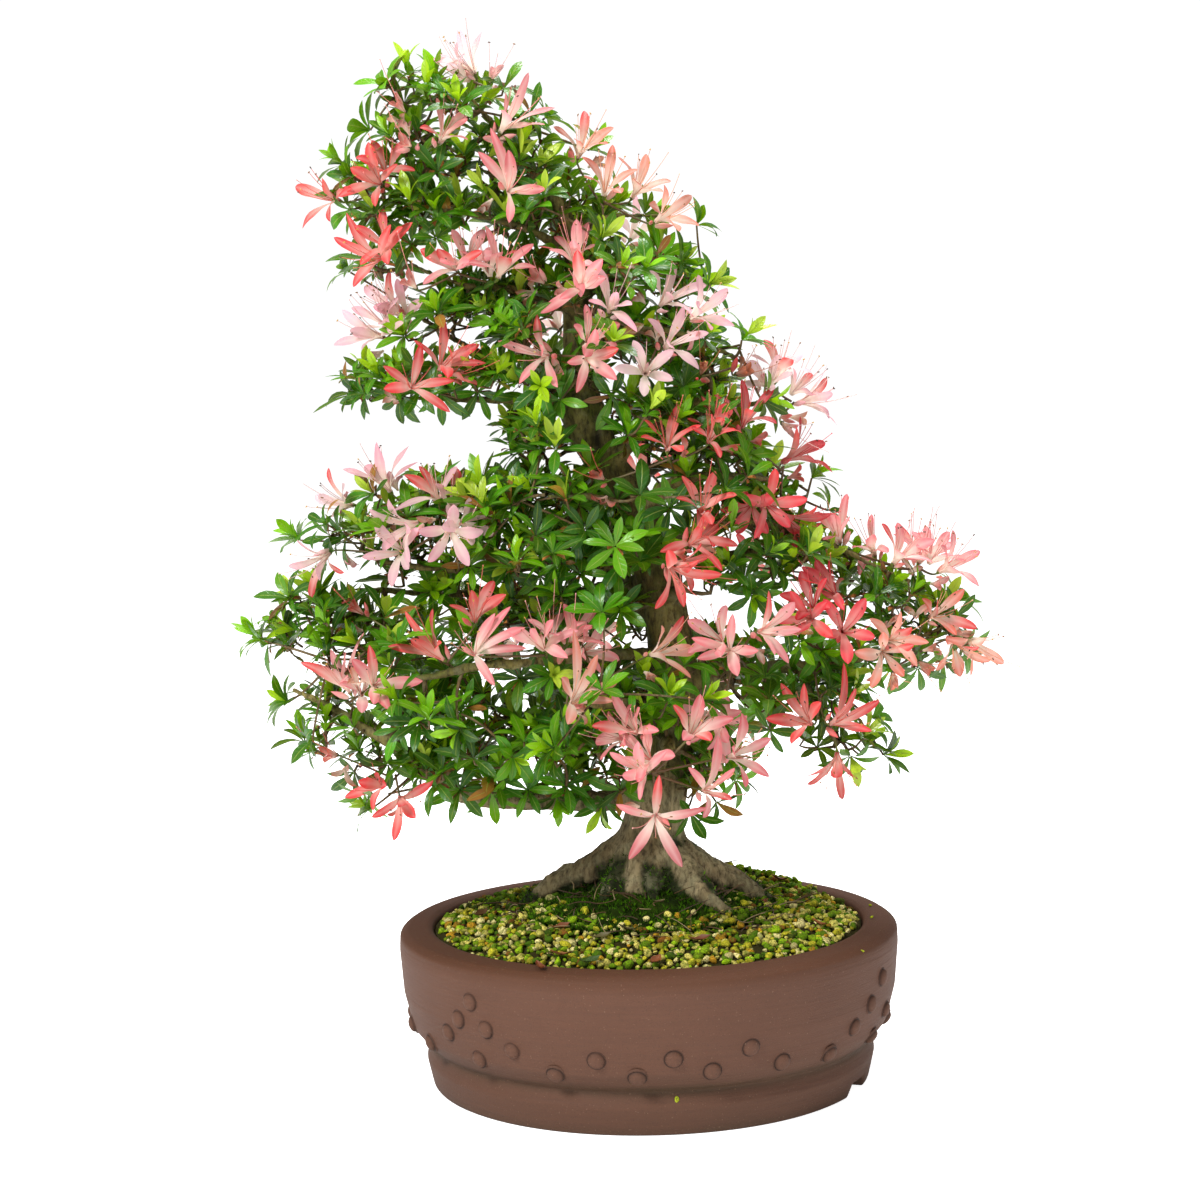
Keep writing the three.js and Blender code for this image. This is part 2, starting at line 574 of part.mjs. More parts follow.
// A whorl of leaves looks outward from the trunk's line and upward.
function outward(point) {
  const [points] = unpack(TRUNK);
  const level = points.find((p) => p.z > point.z) ?? points[points.length - 1];
  return vector(point.x - level.x, point.y - level.y, 0).normalize().multiplyScalar(0.8).setZ(0.75).normalize();
}

function bladesOf(form, draw) {
  return Array.from({ length: form.count }, () => ({
    length: form.length * (0.88 + 0.22 * draw()),
    inner: form.inner + 0.3 * (draw() - 0.5),
    outer: form.outer + 0.7 * (draw() - 0.5),
  }));
}

// Every truss and spray, with the tips that it carries.
const flowerDraw = draws(7411);
const leafDraw = draws(52907);
const stems = [
  ...Object.entries(TRUSSES).map(([name, [colour, ...rows]]) => ({
    name: "bloom_" + name,
    colour,
    tips: rows.map(([column, row, depth, right, rise, kind]) => {
      const form = kind === "c" ? CURLED : PETALS;
      const spin = flowerDraw() * 2 * Math.PI;
      const blades = bladesOf(form, flowerDraw);
      return { form, spin, blades, centre: at(column, row, depth), axis: facing(right, rise, depth) };
    }),
  })),
  ...Object.entries(SPRAYS).map(([name, rows]) => ({
    name: "spray_" + name,
    colour: "leaf",
    tips: rows.map(([column, row, depth]) => {
      const centre = at(column, row, depth);
      const spin = leafDraw() * 2 * Math.PI;
      return { form: LEAVES, spin, blades: bladesOf(LEAVES, leafDraw), centre, axis: outward(centre) };
    }),
  })),
];

// The tip nearest the middle of its truss or spray leads: its stalk is the stem, which leaves the
// nearest wood, and the other tips' stalks leave the stem. A tip always looks away from its stalk.
for (const stem of stems) {
  const middle = stem.tips.reduce((sum, { centre }) => sum.add(centre), vector(0, 0, 0));
  middle.divideScalar(stem.tips.length);
  const [leader] = [...stem.tips].sort((a, b) => a.centre.distanceTo(middle) - b.centre.distanceTo(middle));
  const behind = leader.centre.clone().addScaledVector(leader.axis, -STALK_BEHIND);
  const base = nearestWood(behind);
  stem.tips.forEach((tip, i) => {
    const share = FORK_START + (FORK_SPREAD * i) / stem.tips.length;
    tip.foot = tip === leader ? base : base.clone().lerp(leader.centre, share);
    tip.girth = tip === leader && stem.tips.length > 1 ? STEM_RADIUS : STALK_RADIUS;
    const away = tip.centre.clone().sub(tip.foot).normalize();
    while (tip.axis.dot(away) < LEAST_TILT) tip.axis.addScaledVector(away, 0.2).normalize();
  });
  stem.pieces = stem.tips.map((tip) => tuft(tip, tip.blades.map(() => null)));
}

const boxOf = (body) => {
  const { min, max } = body.boundingBox();
  return new THREE.Box3(vector(...min), vector(...max));
};
const obstacles = [{ body: trunkRoom, box: boxOf(trunkRoom) }];
const addObstacle = (tip, body) => obstacles.push({ tip, body, box: boxOf(body) });
for (const { tips, pieces } of stems) tips.forEach((tip, i) => addObstacle(tip, pieces[i]));

// Whether a blade would touch the wood or another tip.
function touchesOthers(body, tip) {
  const box = boxOf(body);
  return obstacles.some((other) => {
    return other.tip !== tip && other.box.intersectsBox(box) && !body.intersect(other.body).isEmpty();
  });
}

// Each blade is bent clear of what belongs to other stems, or left out where it can't be.
for (const stem of stems) {
  stem.pieces = stem.tips.map((tip) => {
    const stub = tip.centre.clone().addScaledVector(tip.axis, -1);
    const kept = tip.blades.map((blade, i) => {
      for (const bend of BENDS) {
        const inner = Math.max(blade.inner + bend, 0.1);
        const bent = { length: blade.length, inner, outer: blade.outer + bend };
        const alone = tip.blades.map((_, k) => (k === i ? bent : null));
        if (!touchesOthers(tuft({ ...tip, foot: stub }, alone, GAP), tip)) return bent;
      }
      return null;
    });
    const body = tuft(tip, kept);
    addObstacle(tip, body);
    return body;
  });
}

// ---- The whole plant and pot ---------------------------------------------------------------------

function mesh(name, body, colour, roughness) {
  const { vertProperties, triVerts } = body.getMesh();
  const geometry = new THREE.BufferGeometry();
  geometry.setAttribute("position", new THREE.BufferAttribute(vertProperties, 3));
  geometry.setIndex(new THREE.BufferAttribute(triVerts, 1));
  const material = new THREE.MeshStandardMaterial({ color: COLOURS[colour], roughness, metalness: 0 });
  const node = new THREE.Mesh(geometry, material);
  node.name = name;
  return node;
}

const bonsai = new THREE.Group();
bonsai.add(mesh("pot", pot, "clay", 0.75));
bonsai.add(mesh("drain_mesh", drainMesh, "plastic", 0.6));
bonsai.add(mesh("soil", soil, "grit", 0.95));
bonsai.add(mesh("moss", moss, "moss", 0.95));
bonsai.add(mesh("trunk", trunk, "bark", 0.85));
for (const { name, colour, pieces } of stems) {
  bonsai.add(mesh(name, largest(join(pieces).subtract(trunkRoom)), colour, 0.5));
}

// The origin moves to the middle of the base of the whole thing's box.
const bounds = new THREE.Box3().setFromObject(bonsai);
const middle = bounds.getCenter(vector(0, 0, 0));
bonsai.position.set(-middle.x, -middle.y, -bounds.min.z);

export default bonsai;
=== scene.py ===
"""The looks of a satsuki azalea bonsai in full flower, in its round unglazed pot.

Shapes are worked out in millimetres from the pot's axis, with +Z up and the viewer on the -Y side,
as in the construction. They become metres in the frame when a piece is made.
"""
import math

import bmesh
import bpy
import numpy as np
from mathutils import Matrix, Vector


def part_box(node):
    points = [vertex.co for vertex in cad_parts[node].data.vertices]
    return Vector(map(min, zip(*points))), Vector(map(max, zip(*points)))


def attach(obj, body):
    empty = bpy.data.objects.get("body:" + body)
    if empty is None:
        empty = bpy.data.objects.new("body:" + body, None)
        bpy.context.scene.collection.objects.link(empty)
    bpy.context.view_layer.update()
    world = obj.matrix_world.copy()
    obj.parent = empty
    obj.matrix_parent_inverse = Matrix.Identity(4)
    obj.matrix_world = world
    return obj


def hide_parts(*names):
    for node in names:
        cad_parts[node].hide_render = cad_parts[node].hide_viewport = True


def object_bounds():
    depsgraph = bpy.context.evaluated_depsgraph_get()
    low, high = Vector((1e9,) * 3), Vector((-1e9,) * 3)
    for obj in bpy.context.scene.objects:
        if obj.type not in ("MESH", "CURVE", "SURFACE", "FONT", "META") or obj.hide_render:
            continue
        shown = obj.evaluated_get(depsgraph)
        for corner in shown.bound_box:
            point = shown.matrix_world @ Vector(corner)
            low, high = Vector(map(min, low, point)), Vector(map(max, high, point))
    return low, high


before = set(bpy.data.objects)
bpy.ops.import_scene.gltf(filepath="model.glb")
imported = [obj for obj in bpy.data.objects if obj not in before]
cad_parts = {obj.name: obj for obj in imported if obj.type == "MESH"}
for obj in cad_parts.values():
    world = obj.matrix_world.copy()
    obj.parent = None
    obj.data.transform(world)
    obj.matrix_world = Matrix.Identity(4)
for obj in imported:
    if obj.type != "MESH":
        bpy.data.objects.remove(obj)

CAD_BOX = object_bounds()
MESH_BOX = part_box("drain_mesh")
POT_AXIS = (MESH_BOX[0] + MESH_BOX[1]) / 2
POT_PLACE = np.array([POT_AXIS.x, POT_AXIS.y, 0])
MM = 0.001
FULL_TURN = 2 * math.pi
UP = np.array([0, 0, 1])

# ---- Layout: the same driving values as the construction ---------------------------------------

# The front elevation: a place in it is a column and a row, seen from DISTANCE at a slight rise.
COLUMN, ROW, FOCAL = 642.1, 600, 2503.8
DISTANCE, AIM_HEIGHT = 1900, 365
RISE, TURN = math.radians(5.08), math.radians(1.1)
FRAME_SIZE = 1200

# What grows at a tip: its blades leave a hub, and their slopes turn from inner to outer, in radians.
PETALS = dict(count=5, hub=2.2, length=33, half_width=4.1, inner=1.3, outer=0.3)
CURLED = dict(count=3, hub=2, length=17, half_width=3.2, inner=1.25, outer=1.3)
LEAVES = dict(count=4, hub=1.9, length=27, half_width=4.4, inner=0.75, outer=-0.25)
LENGTH_LEAST, LENGTH_SPREAD, INNER_SPREAD, OUTER_SPREAD = 0.88, 0.22, 0.3, 0.7
FLOWER_SEED, LEAF_SEED = 7411, 52907
DRAW_FACTOR, DRAW_RANGE = 48271, 2147483647
STALK_BEHIND = 11
LEAST_TILT, TILT_STEP = 0.35, 0.2
FORK_START, FORK_SPREAD = 0.5, 0.35
# Facings are given in tenths; what lies deeper than BACK_DEPTH faces away from the viewer.
FACING_SCALE, LEAST_LEVEL, BACK_DEPTH = 10, 0.06, 60
OUTWARD_PULL, OUTWARD_RISE = 0.8, 0.75
# Twigs grow from the branches, and from the trunk beyond this many of its rows.
BARE_TRUNK_ROWS = 9

# Wood: rows of column, row, depth and radius.
TRUNK = [
    (649, 925, 5, 34), (649, 890, 5, 37), (652, 850, 4, 31), (653, 827, 3, 24.5), (662, 770, 0, 22),
    (675, 690, -4, 19.5), (664, 604, 0, 17.5), (652, 553, 4, 18.5), (630, 500, 4, 17), (604, 462, 2, 14.5),
    (584, 415, 0, 17.5), (579, 372, 2, 12), (575, 290, 4, 9), (573, 240, 3, 7), (550, 190, -2, 5),
    (470, 98, -8, 2.4),
]
BRANCHES = [
    [(655, 792, 0, 12), (600, 800, -8, 9.5), (470, 795, -30, 8.5), (392, 745, -45, 5.5),
     (295, 690, -40, 2.8)],
    [(662, 735, 0, 8), (600, 735, 15, 6), (450, 768, 35, 4.5), (400, 742, 40, 3.6), (285, 650, 40, 2)],
    [(675, 690, 0, 10), (727, 671, -12, 7.5), (778, 668, -22, 6.5), (860, 662, -25, 4.5),
     (945, 625, -5, 2.4)],
    [(800, 672, -26, 4.5), (832, 735, -42, 2.2)],
    [(660, 590, 5, 8), (700, 560, 35, 6), (820, 550, 60, 4), (880, 570, 50, 3)],
    [(650, 540, 0, 8), (700, 530, -20, 6), (760, 520, -22, 5), (925, 585, 5, 2.2)],
    [(650, 560, 0, 8), (560, 565, -18, 6), (399, 566, -20, 3.5), (325, 530, -5, 2)],
    [(662, 610, 0, 8), (560, 592, 15, 6), (470, 594, 28, 4.5), (350, 590, 28, 2.8), (290, 605, 22, 2)],
    [(672, 660, -5, 9), (610, 655, -50, 6.5), (530, 662, -75, 5.2), (380, 680, -75, 3), (320, 665, -62, 2.2)],
    [(675, 700, -5, 9), (645, 700, -55, 6), (600, 705, -90, 4.5), (560, 690, -105, 3.2)],
    [(668, 750, -5, 9), (668, 745, -60, 6), (662, 782, -108, 3)],
    [(583, 425, 0, 7), (551, 406, -12, 5), (475, 397, -22, 4), (385, 398, -25, 2.2)],
    [(582, 400, 0, 7), (534, 380, 20, 5), (430, 325, 20, 3), (390, 305, 10, 2.2)],
    [(578, 310, 0, 6), (520, 295, -20, 4.5), (425, 270, -25, 2.8), (395, 240, -20, 2.2)],
    [(610, 465, 0, 8), (650, 425, -25, 5.5), (700, 405, -35, 4.5), (785, 400, -8, 2.6)],
    [(579, 360, 0, 7), (620, 335, -35, 5), (670, 330, -38, 4), (745, 365, -10, 2.2)],
    [(577, 300, 0, 6), (620, 270, 5, 4.5), (660, 255, 12, 3.6), (700, 270, 10, 2.6)],
    [(574, 250, 0, 5), (600, 220, -8, 3.6), (675, 215, 5, 2)],
    [(574, 258, 0, 5), (530, 230, -12, 4), (470, 215, -15, 3.2), (370, 200, -10, 2)],
    [(540, 178, -3, 4), (490, 175, 10, 3), (400, 110, 4, 1.8)],
    [(642, 520, 0, 9), (680, 480, -40, 5.5), (780, 480, -35, 3)],
    [(668, 640, 5, 9), (650, 620, 70, 6), (590, 600, 140, 2.6)],
    [(674, 690, 5, 9), (715, 690, 60, 6), (800, 660, 110, 3)],
    [(655, 580, 5, 9), (590, 590, 60, 5.5), (450, 610, 95, 2.8)],
    [(624, 490, 5, 8), (650, 470, 50, 5.5), (720, 440, 95, 2.8)],
    [(582, 405, 5, 7), (560, 390, 45, 5), (520, 360, 90, 2.4)],
    [(577, 310, 5, 6), (590, 300, 40, 4), (630, 270, 75, 2)],
    [(640, 520, -5, 8), (610, 500, -50, 5), (545, 495, -80, 2.6)],
    [(580, 380, -5, 7), (590, 360, -45, 4.2), (595, 350, -62, 3)],
    [(662, 600, -5, 9), (680, 588, -45, 5.5), (690, 574, -64, 3)],
]
# Roots: degrees, reach, thickness and droop.
ROOTS = [
    (178, 110, 12.5, 0), (224, 80, 9, 4), (278, 66, 9, 3), (322, 96, 11, 3), (356, 104, 12, 0),
    (58, 92, 11, 2), (122, 96, 11, 2),
]
# Flowers: the truss's colour, then column, row, depth, and how far each faces right and up; "c" is curled.
TRUSSES = {
    "apex_pale": ["pale", (475, 74, -5, -4, 8), (490, 82, -12, 3, 5, "c")],
    "apex_pink": ["pink", (439, 143, -30, 5, 7), (405, 112, -15, -4, 5, "c"), (411, 146, -32, -3, 2, "c")],
    "crown_pink": ["pink", (500, 133, -30, 6, 7), (508, 191, -45, 3, 7)],
    "crown_right": ["salmon", (578, 158, 0, 5, 4), (604, 196, -10, 2, 8), (632, 198, 0, 5, 7),
        (655, 222, -14, 7, 4)],
    "left_coral": ["coral", (381, 184, -20, -3, 2), (340, 201, -10, -8, 3), (383, 258, -35, -6, 6)],
    "left_pink": ["pink", (457, 270, -30, -3, 3), (498, 278, -45, 3, 8), (416, 288, -44, -2, 6, "c")],
    "left_edge": ["pale", (398, 311, -5, -6, 4), (383, 337, -15, -7, 2)],
    "centre_top": ["pink", (577, 268, -48, 0, 7), (582, 288, -64, 0, 1), (544, 283, -40, -3, 5, "c")],
    "centre_pale": ["pale", (609, 313, -60, 2, 6), (645, 374, -64, 1, 2), (664, 348, -52, 5, 4),
        (660, 306, -40, 6, 4),
                    (690, 318, -54, 7, 3)],
    "left_mid": ["coral", (439, 370, -52, 4, 6), (411, 388, -60, 4, 3)],
    "centre_pink": ["pink", (549, 355, -62, -6, 0), (585, 357, -76, 3, -1)],
    "right_withered": ["withered", (701, 374, -45, 3, 5, "c"), (736, 374, -25, 6, 4, "c")],
    "right_edge": ["pale", (775, 382, 0, 7, 5), (798, 403, 5, 8, 3), (782, 423, -5, 8, 0, "c")],
    "centre_coral": ["coral", (667, 451, -70, 0, 8), (708, 443, -62, 3, 6), (604, 479, -60, -2, 5, "c")],
    "right_crimson": ["crimson", (742, 428, -32, 6, 6), (785, 461, -10, 8, 4), (764, 502, -38, 4, 0),
                      (785, 515, -20, 7, 0)],
    "centre_star": ["coral", (688, 545, -74, 5, 5), (669, 566, -88, 6, -4), (701, 515, -62, 0, 6)],
    "left_pad_pale": ["pale", (391, 492, -20, -5, 8), (439, 502, -35, 0, 8), (418, 522, -54, -8, -2)],
    "left_pad_edge": ["pale", (353, 505, 0, -8, 0), (330, 553, -26, -6, -5), (404, 551, -40, -3, 0),
                      (450, 528, -56, 0, -4)],
    "low_left_coral": ["coral", (363, 614, -30, -5, 5, "c"), (444, 660, -75, -7, 6), (475, 622, -70, 1, 7)],
    "low_left_pink": ["pink", (475, 655, -92, 7, 3), (545, 650, -90, -3, 6), (570, 642, -84, 4, 6)],
    "low_front": ["salmon", (570, 704, -112, 5, 6), (650, 655, -80, -3, -2)],
    "low_edge": ["pink", (350, 693, -60, -4, 8), (373, 686, -80, 3, 2)],
    "low_hanging": ["coral", (385, 785, -50, -4, 2), (400, 797, -64, 2, -2), (337, 755, -45, -5, 3, "c")],
    "right_pad": ["pink", (840, 543, 0, 2, 8), (875, 556, 22, 1, 8), (893, 563, -30, 4, 7),
        (919, 563, 6, 5, 7),
                  (939, 572, -20, 7, 5)],
    "right_front": ["crimson", (837, 596, -38, -5, 7), (812, 619, -55, -3, 1), (842, 632, -50, 1, 2)],
    "right_star": ["pink", (730, 650, -82, -1, 1), (758, 632, -76, 6, 1), (722, 721, -64, 4, 3)],
    "right_tip": ["salmon", (888, 640, -42, 4, 3), (929, 617, -20, 5, 3), (965, 637, -15, 4, -6),
                  (893, 673, -45, 0, -4, "c"), (919, 662, -30, 4, -4, "c")],
    "right_low": ["coral", (812, 724, -60, -5, 5), (830, 724, -66, 7, 5), (837, 752, -55, 0, -8)],
    "bottom": ["pink", (638, 734, -106, -4, 5), (648, 772, -114, -5, 0), (655, 814, -120, 0, -2),
               (689, 737, -108, 3, 6), (702, 790, -104, 6, 0), (728, 757, -90, 7, 2)],
    "back_low": ["pink", (600, 640, 150, -2, 4), (700, 690, 140, 4, 4), (520, 650, 120, -5, 4)],
    "back_mid": ["coral", (640, 480, 120, 2, 6), (740, 560, 110, 6, 4)],
    "back_top": ["pale", (560, 330, 95, -3, 6), (630, 240, 70, 4, 6)],
}
# Where the petals of the foremost flowers end: the column and row of each tip, by its flower's place.
PETAL_TIPS = {
    (475, 74): [(461, 28), (440, 55), (500, 62)],
    (439, 143): [(436, 98), (466, 118), (420, 128), (470, 140)],
    (500, 133): [(527, 72), (555, 108), (505, 92), (545, 125)],
    (508, 191): [(490, 128), (508, 150), (545, 190), (478, 152)],
    (381, 184): [(370, 142), (398, 168), (352, 165)],
    (340, 201): [(322, 178), (330, 222), (352, 190)],
    (383, 258): [(345, 214), (393, 227), (335, 235), (412, 222)],
    (498, 278): [(484, 226), (535, 246), (468, 262)],
    (457, 270): [(441, 248), (482, 250), (470, 262)],
    (398, 311): [(380, 304), (412, 280), (392, 330)],
    (383, 337): [(350, 328), (362, 350), (404, 322)],
    (577, 268): [(549, 250), (595, 268), (587, 296), (572, 240)],
    (582, 288): [(540, 312), (598, 256), (606, 280), (560, 300)],
    (609, 313): [(588, 300), (618, 292), (640, 330), (632, 305)],
    (439, 370): [(437, 316), (478, 342), (485, 367), (414, 344)],
    (411, 388): [(424, 344), (383, 367), (455, 380), (450, 412), (385, 392)],
    (549, 355): [(498, 342), (518, 383), (557, 388), (536, 314)],
    (585, 357): [(600, 329), (620, 355), (567, 362), (577, 393), (618, 378)],
    (667, 451): [(644, 420), (642, 438), (680, 405), (701, 425)],
    (708, 443): [(712, 412), (690, 425), (735, 430), (722, 458)],
    (688, 545): [(660, 552), (722, 571), (702, 530)],
    (669, 566): [(722, 573), (684, 607), (664, 553), (700, 560)],
    (391, 492): [(373, 443), (409, 446), (342, 471), (418, 462)],
    (439, 502): [(419, 466), (457, 466), (480, 482), (404, 475), (392, 510)],
    (353, 505): [(318, 496), (345, 486), (330, 520)],
    (330, 553): [(298, 540), (318, 578), (345, 575)],
    (444, 660): [(404, 612), (434, 609), (388, 647), (410, 640)],
    (475, 622): [(475, 589), (506, 594), (450, 607), (490, 600)],
    (475, 655): [(493, 612), (524, 625), (526, 647), (498, 683), (512, 608)],
    (545, 650): [(532, 625), (553, 618), (578, 632), (570, 655)],
    (570, 642): [(576, 620), (605, 645), (590, 625)],
    (570, 704): [(562, 676), (580, 630), (598, 655), (618, 681), (613, 704), (567, 724)],
    (350, 693): [(345, 655), (304, 658), (363, 632), (330, 650)],
    (373, 686): [(353, 658), (370, 645), (422, 678), (373, 704), (386, 711)],
    (400, 797): [(372, 818), (414, 820), (435, 782), (404, 806)],
    (385, 785): [(358, 783), (345, 798), (378, 772)],
    (730, 650): [(733, 614), (692, 637), (697, 658), (758, 647), (738, 676)],
    (758, 632): [(768, 591), (801, 627), (789, 663), (775, 655)],
    (840, 543): [(835, 512), (850, 516), (828, 540)],
    (875, 556): [(852, 548), (872, 535), (890, 552), (862, 575)],
    (919, 563): [(893, 534), (925, 553), (906, 560)],
    (837, 596): [(802, 566), (830, 560), (803, 580), (845, 610)],
    (812, 619): [(788, 592), (800, 632), (826, 600)],
    (888, 640): [(870, 617), (911, 627), (929, 642), (900, 612)],
    (929, 617): [(937, 602), (957, 635), (922, 600)],
    (965, 637): [(988, 637), (967, 658), (970, 675), (945, 640)],
    (812, 724): [(781, 683), (802, 683), (819, 698), (766, 721), (791, 744)],
    (830, 724): [(842, 663), (855, 688), (881, 704), (872, 730)],
    (837, 752): [(807, 775), (835, 778), (853, 778)],
    (655, 814): [(617, 803), (707, 808), (630, 860), (680, 868), (657, 775)],
    (702, 790): [(718, 735), (735, 768), (732, 800), (690, 765)],
    (648, 772): [(640, 742), (668, 752), (622, 778), (640, 800)],
    (638, 734): [(618, 735), (640, 708), (660, 728)],
    (722, 721): [(705, 706), (722, 690), (745, 715)],
}
# Whorls of leaves: column, row and depth.
SPRAYS = {
    "apex_left": [(395, 88, 0), (370, 130, 8)],
    "apex_right": [(545, 118, 0), (590, 150, 14), (460, 108, -36)],
    "left_top": [(345, 165, 0), (412, 178, 10)],
    "left_upper": [(350, 272, 2), (440, 330, 0), (519, 316, 12)],
    "crown": [(545, 195, -42), (600, 240, -38)],
    "crown_right": [(697, 225, 2), (708, 285, -5), (645, 270, -52)],
    "centre_upper": [(612, 345, -82), (560, 400, -62), (500, 325, -56)],
    "right_upper": [(742, 340, -8), (762, 400, -28), (663, 367, 15)],
    "right_mid": [(812, 478, 10), (828, 510, 18), (747, 501, 23), (726, 435, 37)],
    "centre": [(540, 450, -54), (512, 505, -66), (585, 530, -80), (482, 548, -56)],
    "centre_right": [(640, 495, -80), (725, 490, -66)],
    "left_pad": [(300, 540, 8), (385, 535, 18), (504, 511, 20)],
    "right_pad": [(765, 555, -52), (822, 562, -16)],
    "right_tip": [(955, 600, 14), (905, 600, 30)],
    "right_low": [(872, 718, -38), (884, 755, -32), (828, 683, 16), (761, 712, 11)],
    "low_left": [(262, 640, 0), (300, 600, 12), (288, 702, -22), (330, 655, -46), (312, 740, -66),
        (388, 652, -58), (388, 647, 21)],
    "low_left_front": [(400, 702, -94), (460, 730, -96), (512, 757, -88)],
    "low_front": [(555, 748, -114), (602, 690, -120), (702, 700, -94), (602, 612, -94), (560, 596, -72)],
    "low_inner": [(488, 702, 23), (444, 670, -8), (549, 631, 61), (605, 716, 47), (529, 734, 0)],
    "bottom": [(372, 808, -35), (490, 778, -58)],
    "back_low": [(650, 720, 132), (560, 700, 125), (740, 725, 100), (400, 640, 90)],
    "back_mid": [(600, 520, 125), (860, 580, 80), (400, 545, 72), (606, 537, 50)],
    "back_top": [(540, 370, 92), (692, 292, 52), (500, 200, 50), (450, 150, 35)],
}

# ---- Small tools -------------------------------------------------------------------------------

# What turns a lattice point into a value between -1 and 1 that looks random.
HASH_AXES, HASH_SEED, HASH_FACTOR = np.array([73856093, 19349663, 83492791]), 2654435, 1274126177
HASH_RANGE, HASH_VALUES = 2**32, 2**16
NOISE_SPAN = 1.5


def draws(seed):
    """Seeded draws between 0 and 1, the same as the construction's."""
    def draw():
        nonlocal seed
        seed = seed * DRAW_FACTOR % DRAW_RANGE
        return seed / DRAW_RANGE

    return draw


def at(column, row, depth):
    """The point at a column and row of the front elevation, at the given depth."""
    across, rise = column - COLUMN, ROW - row
    x = across * math.cos(TURN) + rise * math.sin(TURN)
    y = rise * math.cos(TURN) - across * math.sin(TURN)
    far = DISTANCE + depth * math.cos(RISE)
    height = (y * far - depth * math.sin(RISE) * FOCAL) / (math.cos(RISE) * FOCAL + y * math.sin(RISE))
    reach = far - height * math.sin(RISE)
    return np.array([x * reach / FOCAL, depth, AIM_HEIGHT + height])


def seen_at(points):
    """The columns and rows of the elevation where one point or many are seen."""
    right, depth, height = points[..., 0], points[..., 1], points[..., 2] - AIM_HEIGHT
    far = DISTANCE + depth * math.cos(RISE) - height * math.sin(RISE)
    x = right * FOCAL / far
    y = (height * math.cos(RISE) + depth * math.sin(RISE)) * FOCAL / far
    across = x * math.cos(TURN) - y * math.sin(TURN)
    rise = x * math.sin(TURN) + y * math.cos(TURN)
    return COLUMN + across, ROW - rise


def unit(v):
    return v / max(np.linalg.norm(v), 1e-9)


def units(rows):
    return rows / np.maximum(np.linalg.norm(rows, axis=1, keepdims=True), 1e-9)


def blend(a, b, share):
    return a * (1 - share) + b * share


def linear(red, green, blue):
    """A colour given as sRGB 0 to 255, as linear light."""
    c = np.array([red, green, blue]) / 255
    return np.where(c <= 0.04045, c / 12.92, ((c + 0.055) / 1.055) ** 2.4)


def pick(colours, rng):
    """One of some sRGB colours, as linear light."""
    return linear(*colours[rng.integers(len(colours))])


def lattice(points, seed):
    """Smooth noise between -1 and 1 on a unit lattice."""
    cell = np.floor(points).astype(np.int64)
    part = points - cell
    part = part * part * (3 - 2 * part)
    total = 0
    for corner in range(8):
        step = np.array([corner & 1, corner >> 1 & 1, corner >> 2 & 1])
        key = (cell + step) @ HASH_AXES + seed * HASH_SEED
        key = (key ^ (key >> 13)) * HASH_FACTOR % HASH_RANGE
        value = ((key ^ (key >> 16)) % HASH_VALUES) / ((HASH_VALUES - 1) / 2) - 1
        total = total + value * np.prod(np.where(step, part, 1 - part), axis=1)
    return total


def noise(points, size, seed=1, octaves=3):
    """Noise whose largest features are about size across; size may differ along x, y and z."""
    scaled = np.asarray(points) / np.asarray(size)
    return sum(lattice(scaled * 2**k, seed + k) / 2**k for k in range(octaves)) / NOISE_SPAN


def smooth_line(points, step):
    """Points about a step apart on a smooth curve through the given rows (position and radius)."""
    rows = np.array(points, float)
    ends = np.vstack([2 * rows[0] - rows[1], rows, 2 * rows[-1] - rows[-2]])
    out = []
    for a, b, c, d in zip(ends, ends[1:], ends[2:], ends[3:]):
        count = max(2, round(np.linalg.norm((c - b)[:3]) / step))
        for t in np.arange(count) / count:
            out.append(0.5 * (2 * b + (c - a) * t + (2 * a - 5 * b + 4 * c - d) * t**2
                              + (3 * b - a - 3 * c + d) * t**3))
    return np.array(out + [rows[-1]])


def bezier(a, b, c, count):
    t = np.linspace(0, 1, count)[:, None]
    return (1 - t) ** 2 * a + 2 * t * (1 - t) * b + t**2 * c


def grid_faces(rows, columns, closed=False):
    """Quads of a grid of points, row by row; closed joins the last column to the first."""
    i, j = np.meshgrid(np.arange(rows - 1), np.arange(columns if closed else columns - 1), indexing="ij")
    i, j = i.ravel(), j.ravel()
    k = (j + 1) % columns
    return np.stack([i * columns + j, i * columns + k, (i + 1) * columns + k, (i + 1) * columns + j], 1)


def capped_faces(rows, columns):
    """The faces of a closed grid with a cap at each end."""
    last = (rows - 1) * columns
    caps = [list(range(columns - 1, -1, -1)), list(range(last, last + columns))]
    return grid_faces(rows, columns, True).tolist() + caps


def polar(radius, turns):
    return radius * np.cos(turns), radius * np.sin(turns)


